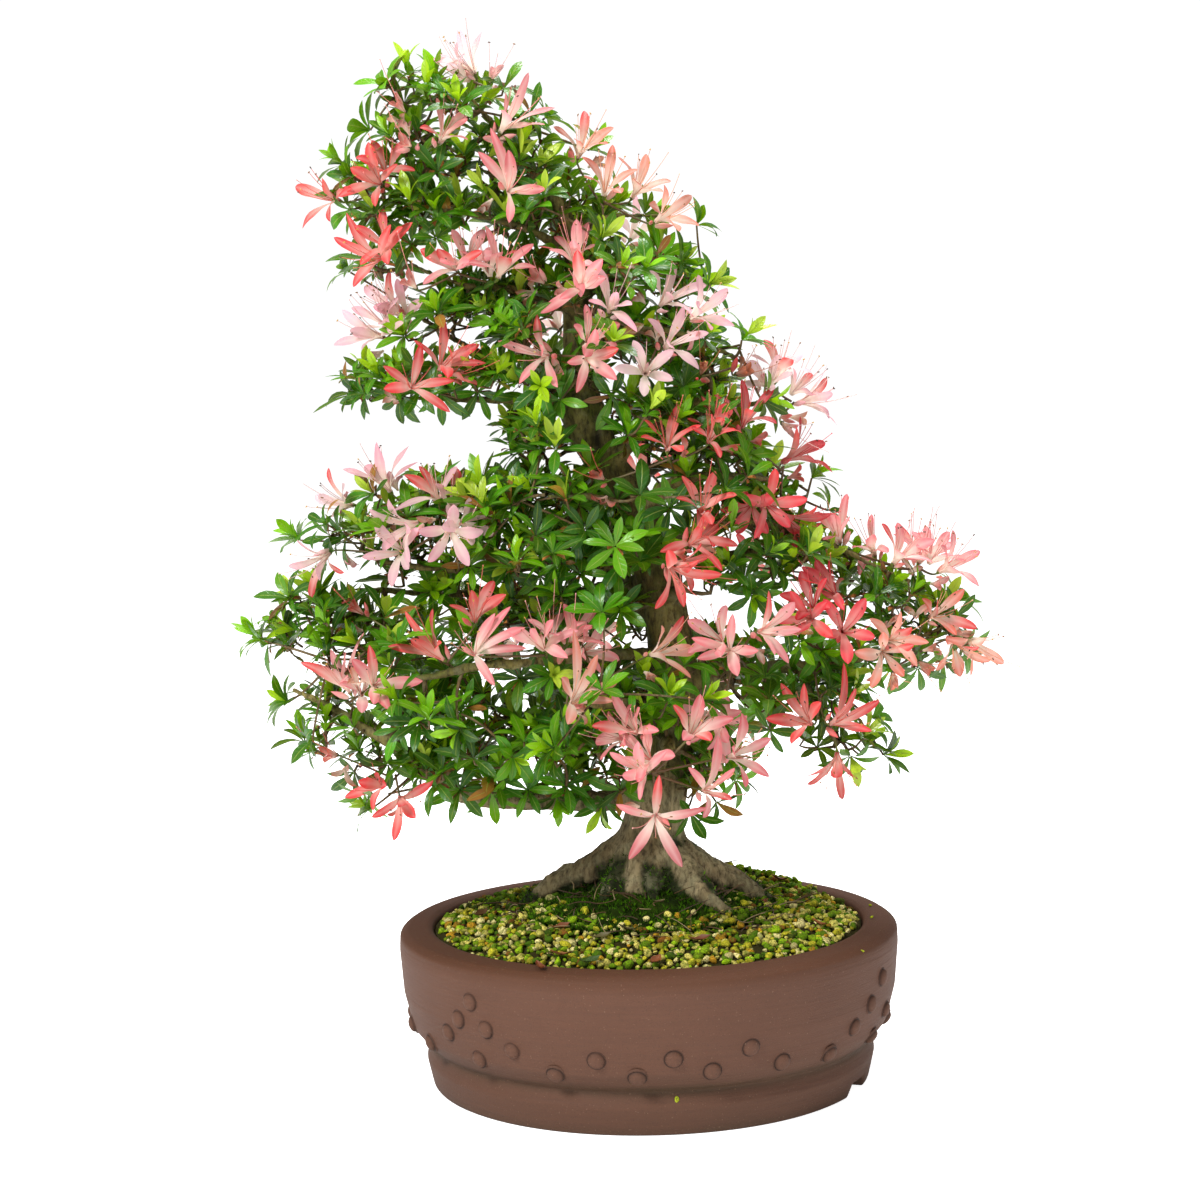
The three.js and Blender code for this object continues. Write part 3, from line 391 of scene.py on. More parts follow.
class Shape:
    """The points, faces, marks and colours gathered for one piece, in millimetres from the pot's axis.

    A mark is a pair: how far across and how far along its leaf, petal or stem a point is.
    """

    def __init__(self):
        self.points, self.faces, self.marks, self.colours = [], [], [], []
        self.count = 0

    def add(self, points, faces, colour, marks=None):
        points = np.asarray(points, float)
        n = len(points)
        self.points.append(points)
        self.faces.extend([k + self.count for k in face] for face in faces)
        self.marks.append(np.zeros((n, 2)) if marks is None else marks)
        self.colours.append(np.broadcast_to(colour, (n, 3)))
        self.count += n

    def make(self, name, slot, materials, replaces=()):
        """The finished piece: a mesh with its marks as UVs and its colours as an attribute."""
        mesh = bpy.data.meshes.new(name)
        points = np.concatenate(self.points) * MM + POT_PLACE
        mesh.from_pydata(points.tolist(), [], self.faces)
        marks, colours = np.concatenate(self.marks), np.concatenate(self.colours)
        corner = np.zeros(len(mesh.loops), np.int32)
        mesh.loops.foreach_get("vertex_index", corner)
        mesh.uv_layers.new(name="marks").data.foreach_set("uv", marks[corner].astype(np.float32).ravel())
        rgba = np.column_stack([colours, np.ones(len(colours))]).astype(np.float32)
        mesh.color_attributes.new("tint", "FLOAT_COLOR", "POINT").data.foreach_set("color", rgba.ravel())
        mesh.polygons.foreach_set("use_smooth", [True] * len(mesh.polygons))
        for material in materials:
            mesh.materials.append(material)
        mesh.update()
        piece = bpy.data.objects.new(name, mesh)
        bpy.context.scene.collection.objects.link(piece)
        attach(piece, "root")
        if replaces:
            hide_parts(*replaces)
        return piece


def tube(points, radii, sides):
    """The points and quads of a round stem along the given points."""
    points = np.asarray(points, float)
    along = units(np.gradient(points, axis=0))
    side = np.cross(along[0], [0, 0, 1] if abs(along[0][2]) < 0.9 else [1, 0, 0])
    carried = []
    for direction in along:
        side = unit(side - direction * (side @ direction))
        carried.append(side)
    a = np.array(carried)
    b = np.cross(along, a)
    angle = np.arange(sides) * FULL_TURN / sides
    radii = np.broadcast_to(radii, len(points))
    ring = a[:, None] * np.cos(angle)[None, :, None] + b[:, None] * np.sin(angle)[None, :, None]
    rings = points[:, None] + ring * radii[:, None, None]
    return rings.reshape(-1, 3), grid_faces(len(points), sides, True)


# How far across a blade its columns of points are, and how far along it its rows are.
BLADE_COLUMNS = np.array([-1, -0.55, 0, 0.55, 1])
SLIM_COLUMNS = np.array([-1, 0, 1])
LEAF_SHARES = np.array([0, 0.12, 0.28, 0.46, 0.64, 0.8, 0.92, 1])
PETAL_SHARES = np.array([0, 0.14, 0.28, 0.42, 0.54, 0.65, 0.75, 0.84, 0.91, 0.96, 1])
# Outlines: shares of the length, and the half width there as a share of the greatest.
LEAF_OUTLINE = ([0, 0.1, 0.22, 0.36, 0.5, 0.64, 0.78, 0.9, 1],
                [0.16, 0.26, 0.52, 0.82, 0.98, 1, 0.82, 0.46, 0.03])
PETAL_OUTLINE = ([0, 0.14, 0.28, 0.42, 0.56, 0.66, 0.76, 0.85, 0.92, 0.97, 1],
                 [0.38, 0.4, 0.52, 0.74, 0.93, 1, 0.96, 0.83, 0.6, 0.34, 0.06])
WAVE_TURNS = 9


def ribbon(line, shares, side, widths, fold, curl=0.0, wave=0.0, phase=0.0, columns=BLADE_COLUMNS):
    """A thin blade along a line: its sides rise by fold each side of the middle and curl at the edges."""
    along = units(np.gradient(line, axis=0))
    across = units(side - along * np.sum(side * along, axis=1, keepdims=True))
    normal = np.cross(along, across)
    u = columns[None, :, None]
    t = shares[:, None, None]
    lift = fold * np.abs(u) + curl * u**4 + wave * np.sin(WAVE_TURNS * t + phase + 2 * np.sign(u)) * u**2
    reach = widths[:, None, None]
    points = line[:, None] + across[:, None] * u * reach + normal[:, None] * lift * reach
    marks = np.dstack(np.broadcast_arrays(u[:, :, 0] / 2 + 0.5, t[:, :, 0])).reshape(-1, 2)
    return points.reshape(-1, 3), grid_faces(len(line), len(columns)), marks


def outline(form, shares):
    return np.interp(shares, *form)


# ---- The plant's layout ------------------------------------------------------------------------

TRUNK_STEP, BRANCH_STEP = 6, 7
# A branch bends and swells with noise of these sizes, fully so from this many steps out.
BEND, BEND_SIZE, SWELL, SWELL_SIZE, SLIMMING, GROWN_STEPS = 4.4, 34, 0.22, 15, 0.14, 6
BEND_SEED, SWELL_SEED, AXIS_SHIFT = 40, 90, 300


def located(rows):
    """Rows of column, row, depth and radius as positions with radii."""
    return [np.append(at(c, r, d), radius) for c, r, d, radius in rows]


def gnarled(line, seed):
    """A branch's line with small bends and swellings, growing from nothing where it leaves the trunk."""
    grown = np.minimum(np.arange(len(line)) / GROWN_STEPS, 1)[:, None]
    bends = np.stack([noise(line[:, :3] + AXIS_SHIFT * axis, BEND_SIZE, seed + BEND_SEED, 2)
                      for axis in range(3)], 1)
    swell = 1 + SWELL * noise(line[:, :3], SWELL_SIZE, seed + SWELL_SEED, 2)
    return np.column_stack([line[:, :3] + BEND * grown * bends,
                            line[:, 3] * swell * (1 - SLIMMING * grown[:, 0])])


TRUNK_ROWS = np.array(located(TRUNK))
TRUNK_LINE = smooth_line(TRUNK_ROWS, TRUNK_STEP)
BRANCH_LINES = [gnarled(smooth_line(located(rows), BRANCH_STEP), seed) for seed, rows in enumerate(BRANCHES)]
LIMBS = [TRUNK_ROWS[BARE_TRUNK_ROWS:, :3]] + [np.array(located(rows[1:]))[:, :3] for rows in BRANCHES]


def nearest_wood(point):
    """The nearest point of any branch's or the upper trunk's middle line."""
    best = None
    for line in LIMBS:
        for a, b in zip(line, line[1:]):
            share = np.clip((point - a) @ (b - a) / ((b - a) @ (b - a)), 0, 1)
            found = a + share * (b - a)
            distance = np.linalg.norm(found - point)
            if best is None or distance < best[0]:
                best = distance, found
    return best[1]


def trunk_level(height):
    """The trunk's middle at a height."""
    above = TRUNK_ROWS[TRUNK_ROWS[:, 2] > height]
    return (above[0] if len(above) else TRUNK_ROWS[-1])[:3]


def facing(right, rise, depth):
    """The direction of a hub that faces so far to the right and up."""
    right, rise = right / FACING_SCALE, rise / FACING_SCALE
    level = math.sqrt(max(LEAST_LEVEL, 1 - right**2 - rise**2))
    return unit(np.array([right, level if depth > BACK_DEPTH else -level, rise]))


def outward(point):
    away = (point - trunk_level(point[2])) * [1, 1, 0]
    return unit(unit(away) * OUTWARD_PULL + [0, 0, OUTWARD_RISE])


def blades_of(form, draw):
    return [dict(length=form["length"] * (LENGTH_LEAST + LENGTH_SPREAD * draw()),
                 inner=form["inner"] + INNER_SPREAD * (draw() - 0.5),
                 outer=form["outer"] + OUTER_SPREAD * (draw() - 0.5)) for _ in range(form["count"])]


def tips_of():
    """Every truss and spray by node name, with its tips, drawn in the construction's order."""
    flower_draw, leaf_draw = draws(FLOWER_SEED), draws(LEAF_SEED)
    stems = {}
    for name, (colour, *rows) in TRUSSES.items():
        tips = stems["bloom_" + name] = []
        for column, row, depth, right, rise, *kind in rows:
            form = CURLED if kind else PETALS
            spin = flower_draw() * FULL_TURN
            blades = blades_of(form, flower_draw)
            tips.append(dict(form=form, spin=spin, blades=blades, centre=at(column, row, depth),
                             place=(column, row), axis=facing(right, rise, depth), colour=colour,
                             curled=bool(kind)))
    for name, rows in SPRAYS.items():
        tips = stems["spray_" + name] = []
        for row in rows:
            centre = at(*row)
            spin = leaf_draw() * FULL_TURN
            blades = blades_of(LEAVES, leaf_draw)
            tips.append(dict(form=LEAVES, spin=spin, blades=blades, centre=centre, axis=outward(centre)))
    for tips in stems.values():
        lead_to_wood(tips)
    return stems


def lead_to_wood(tips):
    """Gives each tip its foot: the leader's is on the wood, and the others fork from its stalk."""
    middle = sum(tip["centre"] for tip in tips) / len(tips)
    leader = min(tips, key=lambda tip: np.linalg.norm(tip["centre"] - middle))
    base = nearest_wood(leader["centre"] - leader["axis"] * STALK_BEHIND)
    for i, tip in enumerate(tips):
        share = FORK_START + FORK_SPREAD * i / len(tips)
        tip["leads"] = tip is leader
        tip["foot"] = base if tip["leads"] else base + (leader["centre"] - base) * share
        away = unit(tip["centre"] - tip["foot"])
        while tip["axis"] @ away < LEAST_TILT:
            tip["axis"] = unit(tip["axis"] + away * TILT_STEP)


def hub_frame(axis, spin):
    """Two directions square to a hub's axis, the first at the given spin."""
    x = unit(np.cross([0, 0, 1] if abs(axis[2]) < 0.95 else [1, 0, 0], axis))
    y = np.cross(axis, x)
    return x * math.cos(spin) + y * math.sin(spin), y * math.cos(spin) - x * math.sin(spin)


def arc_line(centre, axis, spin, angle, hub, length, inner, outer, shares):
    """A blade's middle line and its side direction: it leaves the hub and its slope turns steadily."""
    x, y = hub_frame(axis, spin)
    out = x * math.cos(angle) + y * math.sin(angle)
    side = y * math.cos(angle) - x * math.sin(angle)
    least = 1e-4
    turn = (outer - inner) / length
    if abs(turn) < least:
        turn = least
    slope = inner + turn * (length * shares)
    far = hub + (np.sin(slope) - math.sin(inner)) / turn
    rise = (math.cos(inner) - np.cos(slope)) / turn
    return centre + out * far[:, None] + axis * rise[:, None], np.broadcast_to(side, (len(shares), 3))


# ---- Materials ---------------------------------------------------------------------------------

TONES = {
    "vein": (150, 176, 70), "rib": (176, 194, 84), "leaf_glow": (160, 204, 4),
    "midline": (255, 232, 226), "throat": (255, 243, 226),
    "grit_moss": (88, 108, 12), "grit_hollow": (58, 58, 16), "stuck_grain": (168, 178, 40),
    "earth": (52, 48, 20),
    "fissure": (38, 31, 20), "lichen": (150, 146, 112),
    "clay_dark": (85, 55, 40), "clay_light": (94, 62, 46), "clay_line": (74, 50, 39),
    # On the next line, the second colour is the painted shade in the groove and the darker band at the foot's
    # edge.
    "clay_rim": (75, 41, 17), "clay_groove_shade_and_foot": (48, 42, 22), "clay_pit": (66, 45, 36),
        "clay_fleck": (140, 110, 90),
    "plastic_dark": (30, 31, 29), "plastic_light": (38, 39, 36),
    "moss_dark": (15, 25, 3), "moss_light": (48, 68, 8), "moss_tuft": (36, 60, 5), "root_fuzz": (38, 60, 6),
    "root_dark": (112, 94, 64), "root_light": (182, 166, 126), "root_moss": (27, 39, 5),
    "bark_dark": (78, 72, 34), "bark_light": (146, 134, 78), "bark_moss": (66, 78, 14), "wound": (14, 12, 8),
    "calyx": (118, 132, 60), "stalk_young": (104, 116, 52), "stalk_old": (98, 76, 46), "twig": (104, 84, 52),
    "floor": (250, 250, 250), "white": (255, 255, 255),
}
# Three shades of each petal colour; a petal mixes two of them.
PETAL_COLOURS = {
    "pale": [(247, 186, 199), (241, 162, 181), (252, 213, 220)],
    "pink": [(240, 124, 131), (245, 150, 157), (234, 103, 114)],
    "coral": [(237, 62, 64), (239, 84, 80), (224, 46, 54)],
    "crimson": [(220, 36, 54), (231, 64, 75), (200, 28, 45)],
    "salmon": [(238, 127, 106), (240, 150, 129), (222, 100, 77)],
    "withered": [(190, 116, 84), (206, 138, 108), (168, 92, 60)],
}
# How pale each colour's throat is.
THROATS = {"pale": 0.95, "pink": 0.95, "salmon": 0.92, "coral": 0.6, "crimson": 0.4, "withered": 0.3}
# The pot's height in metres against how dark the clay is painted there: a darker band at the foot's edge, and
# painted shade in the groove.
GROOVE_SHADE_AND_FOOT_STOPS = [
    (0, 0.8), (0.008, 0.25), (0.026, 0.1), (0.032, 0.95), (0.0345, 0.95), (0.039, 0.3), (0.052, 0.0),
]
# In the same terms, how far the clay takes the rim's colour.
RIM_STOPS = [(0, 0), (0.106, 0), (0.117, 0.8)]


def tone(name):
    return linear(*TONES[name])


class Paint:
    """A node material round one Principled shader. Each method adds a node and gives its output."""

    def __init__(self, name, roughness, specular=0.5):
        self.material = bpy.data.materials.new(name)
        self.material.use_nodes = True
        self.tree = self.material.node_tree
        self.shader = next(n for n in self.tree.nodes if n.type == "BSDF_PRINCIPLED")
        self.shader.inputs["Roughness"].default_value = roughness
        self.shader.inputs["Specular IOR Level"].default_value = specular

    def node(self, kind, outlet, inputs, **settings):
        node = self.tree.nodes.new(kind)
        for key, value in settings.items():
            setattr(node, key, value)
        for key, value in inputs.items():
            self.feed(node.inputs[key], value)
        return node.outputs[outlet]

    def feed(self, socket, value):
        if isinstance(value, bpy.types.NodeSocket):
            self.tree.links.new(value, socket)
        else:
            socket.default_value = value

    def place(self, stretch=(1, 1, 1)):
        place = self.node("ShaderNodeTexCoord", "Object", {})
        return self.node("ShaderNodeMapping", "Vector", {"Vector": place, "Scale": stretch})

    def noise(self, size, stretch=(1, 1, 1), detail=3, roughness=0.5):
        """Noise whose features are about size millimetres across."""
        inputs = {"Vector": self.place(stretch), "Scale": 1 / (size * MM), "Detail": detail,
                  "Roughness": roughness}
        return self.node("ShaderNodeTexNoise", "Fac", inputs)

    def ramp(self, value, stops):
        node = self.tree.nodes.new("ShaderNodeValToRGB")
        self.feed(node.inputs["Fac"], value)
        elements = node.color_ramp.elements
        while len(elements) < len(stops):
            elements.new(1)
        for element, (position, colour) in zip(elements, stops):
            element.position = position
            element.color = (*np.broadcast_to(colour, 3), 1)
        return node.outputs["Color"]

    def mix(self, factor, a, b, how="MIX"):
        """Two colours mixed; a Mix node has them at inputs 6 and 7 and their mixture at output 2."""
        node = self.tree.nodes.new("ShaderNodeMix")
        node.data_type, node.blend_type = "RGBA", how
        colours = [v if isinstance(v, bpy.types.NodeSocket) else (*np.broadcast_to(v, 3), 1) for v in (a, b)]
        for index, value in zip((0, 6, 7), (factor, *colours)):
            self.feed(node.inputs[index], value)
        return node.outputs[2]

    def times(self, a, b):
        return self.mix(1.0, a, b, "MULTIPLY")

    def maths(self, operation, a, b=0.0):
        node = self.tree.nodes.new("ShaderNodeMath")
        node.operation = operation
        self.feed(node.inputs[0], a)
        self.feed(node.inputs[1], b)
        return node.outputs[0]

    def stripes(self, value, count, stops):
        """Lines that cross a value so many times as it goes from 0 to 1."""
        return self.ramp(self.maths("PINGPONG", self.maths("MULTIPLY", value, count), 0.5), stops)

    def tint(self):
        return self.node("ShaderNodeAttribute", "Color", {}, attribute_name="tint")

    def marks(self):
        """How far off its leaf's or petal's middle, and how far along it, a point is."""
        uv = self.node("ShaderNodeUVMap", "UV", {}, uv_map="marks")
        node = self.tree.nodes.new("ShaderNodeSeparateXYZ")
        self.feed(node.inputs[0], uv)
        off = self.maths("ABSOLUTE", self.maths("SUBTRACT", node.outputs[0], 0.5))
        return off, node.outputs[1]

    def height(self):
        node = self.tree.nodes.new("ShaderNodeSeparateXYZ")
        self.feed(node.inputs[0], self.place())
        return node.outputs[2]

    def colour(self, value):
        self.feed(self.shader.inputs["Base Color"], value)

    def bump(self, height, depth, strength=1.0):
        """Small relief whose full height is depth millimetres."""
        inputs = {"Height": height, "Distance": depth * MM, "Strength": strength}
        self.feed(self.shader.inputs["Normal"], self.node("ShaderNodeBump", "Normal", inputs))

    def glow_through(self, colour, share):
        """Lets a share of the light through, as thin leaves and petals do."""
        through = self.node("ShaderNodeBsdfTranslucent", "BSDF", {"Color": colour})
        both = self.node("ShaderNodeMixShader", "Shader", {0: share, 1: self.shader.outputs[0], 2: through})
        output = next(n for n in self.tree.nodes if n.type == "OUTPUT_MATERIAL")
        self.feed(output.inputs["Surface"], both)


def leaf_paint():
    """A glossy leaf with a pale rib and slanting side veins."""
    paint = Paint("leaf", 0.32, 0.5)
    off, along = paint.marks()
    rib = paint.ramp(off, [(0, 1), (0.03, 0.7), (0.06, 0)])
    slant = paint.maths("SUBTRACT", along, paint.maths("MULTIPLY", off, 0.35))
    veins = paint.stripes(slant, 6, [(0, 0.5), (0.12, 0)])
    base = paint.mix(paint.noise(9), paint.times(paint.tint(), 0.72), paint.tint())
    veined = paint.mix(paint.maths("MULTIPLY", veins, 0.2), base, tone("vein"))
    colour = paint.mix(paint.maths("MULTIPLY", rib, 0.5), veined, tone("rib"))
    paint.colour(colour)
    paint.bump(paint.maths("SUBTRACT", 0.0, paint.maths("ADD", rib, veins)), 0.4, 0.8)
    paint.glow_through(paint.mix(0.5, colour, tone("leaf_glow")), 0.26)
    return paint.material


def petal_paint(name):
    """A soft petal with a pale throat and midline and faint darker lines."""
    paint = Paint("petal_" + name, 0.5, 0.3)
    off, along = paint.marks()
    share = THROATS[name]
    throat = paint.ramp(along, [(0.05, share), (0.34, 0.85 * share), (0.54, 0.42 * share),
                                (0.78, 0.08 * share), (1, 0)])
    lines = paint.stripes(off, 9, [(0, 0.25), (0.3, 0)])
    tinted = paint.mix(paint.noise(7), paint.times(paint.tint(), 0.93), paint.tint())
    lined = paint.mix(lines, tinted, paint.times(tinted, 0.8))
    pale = paint.mix(paint.ramp(off, [(0, 0.3 * share), (0.3, 0)]), lined, tone("midline"))
    colour = paint.mix(throat, pale, tone("throat"))
    paint.colour(colour)
    paint.bump(lines, 0.25, 0.5)
    paint.glow_through(colour, 0.44)
    return paint.material


def tinted_paint(name, roughness, specular=0.4, grain=1.2, relief=0.2):
    """A piece's own tint with small mottles and relief of one grain."""
    paint = Paint(name, roughness, specular)
    speckle = paint.noise(grain, detail=4)
    paint.colour(paint.mix(speckle, paint.tint(), 0.7, "MULTIPLY"))
    paint.bump(speckle, relief)
    return paint.material


def grit_paint():
    """Mineral grains with mossy patches and dark hollows."""
    paint = Paint("grit", 0.95, 0.2)
    grain = paint.noise(0.9, detail=4)
    patches = paint.ramp(paint.noise(3.4, detail=3), [(0.5, 0), (0.6, 0.6)])
    mossy = paint.mix(patches, paint.tint(), tone("grit_moss"))
    paint.colour(paint.mix(paint.ramp(grain, [(0.36, 0.75), (0.56, 0)]), mossy, tone("grit_hollow")))
    paint.bump(grain, 0.5)
    return paint.material


def thread_paint():
    """Thin filaments that light shines through."""
    paint = Paint("threads", 0.45, 0.4)
    colour = paint.mix(paint.noise(4), paint.tint(), paint.times(paint.tint(), 0.88))
    paint.colour(colour)
    paint.glow_through(colour, 0.45)
    return paint.material


def bark_paint():
    """Bark with dark fissures along the grain and grey lichen."""
    paint = Paint("bark", 0.85, 0.25)
    fissures = paint.noise(3.2, (1, 1, 0.35), 6, 0.7)
    lichen = paint.ramp(paint.noise(14, detail=5, roughness=0.65), [(0.5, 0), (0.66, 1)])
    shaded = paint.mix(paint.ramp(fissures, [(0.36, 0.8), (0.56, 0)]), paint.tint(), tone("fissure"))
    paint.colour(paint.mix(paint.maths("MULTIPLY", lichen, 0.35), shaded, tone("lichen")))
    paint.bump(fissures, 1.2)
    return paint.material


def clay_paint():
    """Unglazed clay: turning lines, a redder rim, painted shade in the groove, a darker band at the foot's
    edge, pits and flecks.
    """
    paint = Paint("clay", 0.72, 0.3)
    broad = paint.noise(60, detail=4)
    lines = paint.noise(14, (0.25, 0.25, 6), 4)
    speckle = paint.noise(0.9, detail=2)
    # The tint is white on the wall and holds the studs' painted shade and highlight.
    base = paint.times(paint.mix(broad, tone("clay_dark"), tone("clay_light")), paint.tint())
    lined = paint.mix(paint.ramp(lines, [(0.35, 0.22), (0.62, 0)]), base, tone("clay_line"))
    rimmed = paint.mix(paint.ramp(paint.height(), RIM_STOPS), lined, tone("clay_rim"))
    # Painted shade in the groove and a darker band at the foot's edge, both mottled by the broad noise.
    groove_shade_and_foot = paint.ramp(paint.height(), GROOVE_SHADE_AND_FOOT_STOPS)
    darkened = paint.mix(paint.maths("MULTIPLY", groove_shade_and_foot, broad), rimmed, tone("clay_groove_shade_and_foot"))
    pits = paint.ramp(speckle, [(0.3, 0.5), (0.42, 0)])
    flecks = paint.ramp(paint.noise(1.1, detail=0), [(0.78, 0), (0.83, 0.4)])
    paint.colour(paint.mix(flecks, paint.mix(pits, darkened, tone("clay_pit")), tone("clay_fleck")))
    paint.bump(paint.maths("ADD", speckle, paint.maths("MULTIPLY", lines, 1.5)), 0.35)
    return paint.material


def plastic_paint():
    paint = Paint("plastic", 0.6, 0.4)
    paint.colour(paint.mix(paint.noise(2), tone("plastic_dark"), tone("plastic_light")))
    return paint.material


LEAF = leaf_paint()
BARK = bark_paint()
CLAY = clay_paint()
PETAL = {name: petal_paint(name) for name in PETAL_COLOURS}
GRIT = grit_paint()
EARTH = tinted_paint("earth", 1.0, 0.1, 3, 1.0)
MOSS = tinted_paint("moss", 1.0, 0.1, 1.4, 0.8)
FINE = tinted_paint("stalks", 0.5, 0.4, 3, 0.1)
THREAD = thread_paint()


# ---- Pot ---------------------------------------------------------------------------------------

# The wall's closed outline as radius and height; WALL_ROWS are the ones seen from outside.
POT_PROFILE = [
    (23, 9), (150, 9), (153, 0), (167, 0), (171.8, 21), (167.5, 32.5), (172.5, 36), (181.5, 46.5), (188, 72),
    (190.5, 104), (190, 115), (184, 119), (169, 120.5), (164.5, 118.5), (150, 20), (23, 20),
]
WALL_ROWS = slice(3, 12)
CORNER_CUT, CORNER_SHARE, CORNER_POINTS, LONGEST_SIDE = 2.2, 0.4, 5, 16
# Turns are given in degrees from the front, and FRONT is where that is round the axis.
FRONT, RING_STEP = -90, 1.5
THREE_LOBES, FIVE_LOBES = 0.0012, 0.0008
FOOT_NOTCH_ANGLES = (66, 246)
FOOT_NOTCH = dict(width=36, top=22, height=9)
FOOT_RADIUS, FOOT_INSIDE = 160, 149
STUD_RADIUS, STUD_RISE, STUD_SEGMENTS = 6.6, 3.9, 20
FRONT_STUDS = [
    (-90, 50), (-77.6, 51), (-62.6, 48), (-51.6, 64), (-46.8, 77), (-42.5, 92), (-42.3, 49), (-38.3, 74),
    (-31.9, 61), (-21.8, 46), (-11.9, 59), (-3.1, 46), (4.9, 60), (13.6, 49), (22.2, 64), (30.6, 49),
    (45.1, 46), (53, 61), (59.2, 74), (64.7, 90), (65, 44.5), (70.8, 61), (82.9, 44.5), (96.8, 53),
]
BACK_MOUNTAIN = 190
MOUNTAIN_STUDS = [(0, 91), (-4.8, 76), (4.8, 75), (-10.2, 63), (10.6, 61), (0, 47.5)]
# Rows of studs that go up and down: where each starts and ends, and how many it has.
ZIGZAGS = [(108, 169, 8), (211, 260, 6)]
ZIGZAG_LOW, ZIGZAG_HIGH = 46.5, 60
# A stud's rings, from the wall outwards: a low edge past its radius, a dome, and how bright each is painted.
# This is painted shade, darkest in the ring round the stud's foot and less on the dome's sides, with a faint
# painted highlight on its top.
STUD_EDGE = [(1.4, -1.2), (0.7, 0.1), (0.1, 0.25), (-0.2, -0.1)]
DOME_INSET, DOME_FOOT, DOME_TURN, DOME_RINGS = 0.4, 0.3, 1.4, 6
STUD_PAINTED_SHADE = [0.92, 0.72, 0.36, 0.18, 0.4, 0.78, 0.94, 1, 1.03, 1.03]


def rounded(profile):
    """A closed outline with each corner turned into a short curve, and its long sides divided."""
    rows = np.array(profile, float)
    out = []
    for before, corner, after in zip(np.roll(rows, 1, 0), rows, np.roll(rows, -1, 0)):
        a = corner + (before - corner) * min(CORNER_CUT / np.linalg.norm(before - corner), CORNER_SHARE)
        b = corner + (after - corner) * min(CORNER_CUT / np.linalg.norm(after - corner), CORNER_SHARE)
        out.extend(bezier(a, corner, b, CORNER_POINTS))
    fine = []
    for a, b in zip(out, out[1:] + out[:1]):
        count = max(1, math.ceil(np.linalg.norm(b - a) / LONGEST_SIDE))
        fine.extend(a + (b - a) * k / count for k in range(count))
    return np.array(fine)


def wall_radius(height):
    radii, heights = zip(*POT_PROFILE[WALL_ROWS])
    return np.interp(height, heights, radii)


def stud_positions():
    """Every stud, in degrees from the front and height."""
    studs = FRONT_STUDS + [(BACK_MOUNTAIN + turn, height) for turn, height in MOUNTAIN_STUDS]
    for start, end, count in ZIGZAGS:
        for k in range(count):
            studs.append((start + (end - start) * k / (count - 1), ZIGZAG_HIGH if k % 2 else ZIGZAG_LOW))
    return studs


def dome(profile, segments, centre, out, up_wall):
    """A small button: its profile is rows of radius and height, turned round the direction out."""
    side = np.cross(up_wall, out)
    angle = np.arange(segments) * FULL_TURN / segments
    ring = side[None] * np.cos(angle)[:, None] + up_wall[None] * np.sin(angle)[:, None]
    points = np.concatenate([centre + out * h + ring * r for r, h in profile])
    last = (len(profile) - 1) * segments
    return points, grid_faces(len(profile), segments, True).tolist() + [list(range(last, last + segments))]


def ring_turns():
    """Where the pot's sections are: evenly round it, and at the edges of each notch."""
    edges = [math.degrees(FOOT_NOTCH[key] / 2 / FOOT_RADIUS) for key in ("width", "top")]
    turns = set(np.arange(0, 360, RING_STEP))
    turns |= {(a + s * e) % 360 for a in FOOT_NOTCH_ANGLES for e in edges for s in (-1, 1)}
    return np.radians(np.array(sorted(turns)) + FRONT)


def notch_lift(turns):
    """How far up the foot's underside is cut at each turn."""
    away = np.min([np.abs((turns - math.radians(a + FRONT) + math.pi) % FULL_TURN - math.pi)
                   for a in FOOT_NOTCH_ANGLES], axis=0)
    half_low, half_high = FOOT_NOTCH["width"] / 2, FOOT_NOTCH["top"] / 2
    return FOOT_NOTCH["height"] * np.clip((half_low - away * FOOT_RADIUS) / (half_low - half_high), 0, 1)


def build_pot():
    shape = Shape()
    profile, turns = rounded(POT_PROFILE), ring_turns()
    lift = notch_lift(turns)
    wobble = 1 + THREE_LOBES * np.sin(3 * turns + 1) + FIVE_LOBES * np.sin(5 * turns)
    rows = []
    for radius, height in profile:
        notched = height < FOOT_NOTCH["height"] and radius > FOOT_INSIDE
        level = np.maximum(height, lift) if notched else np.full(len(turns), height)
        rows.append(np.stack([*polar(radius * wobble, turns), level], 1))
    n, last = len(turns), (len(rows) - 1) * len(turns)
    faces = grid_faces(len(rows), n, True).tolist()
    faces += [[last + j, last + (j + 1) % n, (j + 1) % n, j] for j in range(n)]
    shape.add(np.concatenate(rows), faces, (1, 1, 1))

    button = [(STUD_RADIUS + past, height) for past, height in STUD_EDGE]
    button += [((STUD_RADIUS - DOME_INSET) * math.cos(a), DOME_FOOT + (STUD_RISE - DOME_FOOT) * math.sin(a))
               for a in np.linspace(0, DOME_TURN, DOME_RINGS)]
    # Each stud's rings carry their painted shade and highlight in the tint, which the clay multiplies.
    shades = np.repeat(STUD_PAINTED_SHADE, STUD_SEGMENTS)[:, None]
    for degrees, height in stud_positions():
        turn = math.radians(degrees + FRONT)
        lean = math.atan2(wall_radius(height + 2) - wall_radius(height - 2), 4)
        level = np.array([math.cos(turn), math.sin(turn), 0])
        out = level * math.cos(lean) - UP * math.sin(lean)
        up_wall = level * math.sin(lean) + UP * math.cos(lean)
        centre = level * wall_radius(height) + np.array([0, 0, height])
        shape.add(*dome(button, STUD_SEGMENTS, centre, out, up_wall), shades)
    shape.make("pot_body", "pot", [CLAY], ["pot"])


# ---- Soil and moss -----------------------------------------------------------------------------

FLOOR_TOP, GAP, MESH_SIDE, MESH_THICKNESS = 20, 0.35, 58, 2
SOIL_EDGE, SOIL_CORNER = (162.9, 116.5), 149
MOSS_RADIUS, MOSS_FLOOR, MOSS_RISE = 93, 127, 25
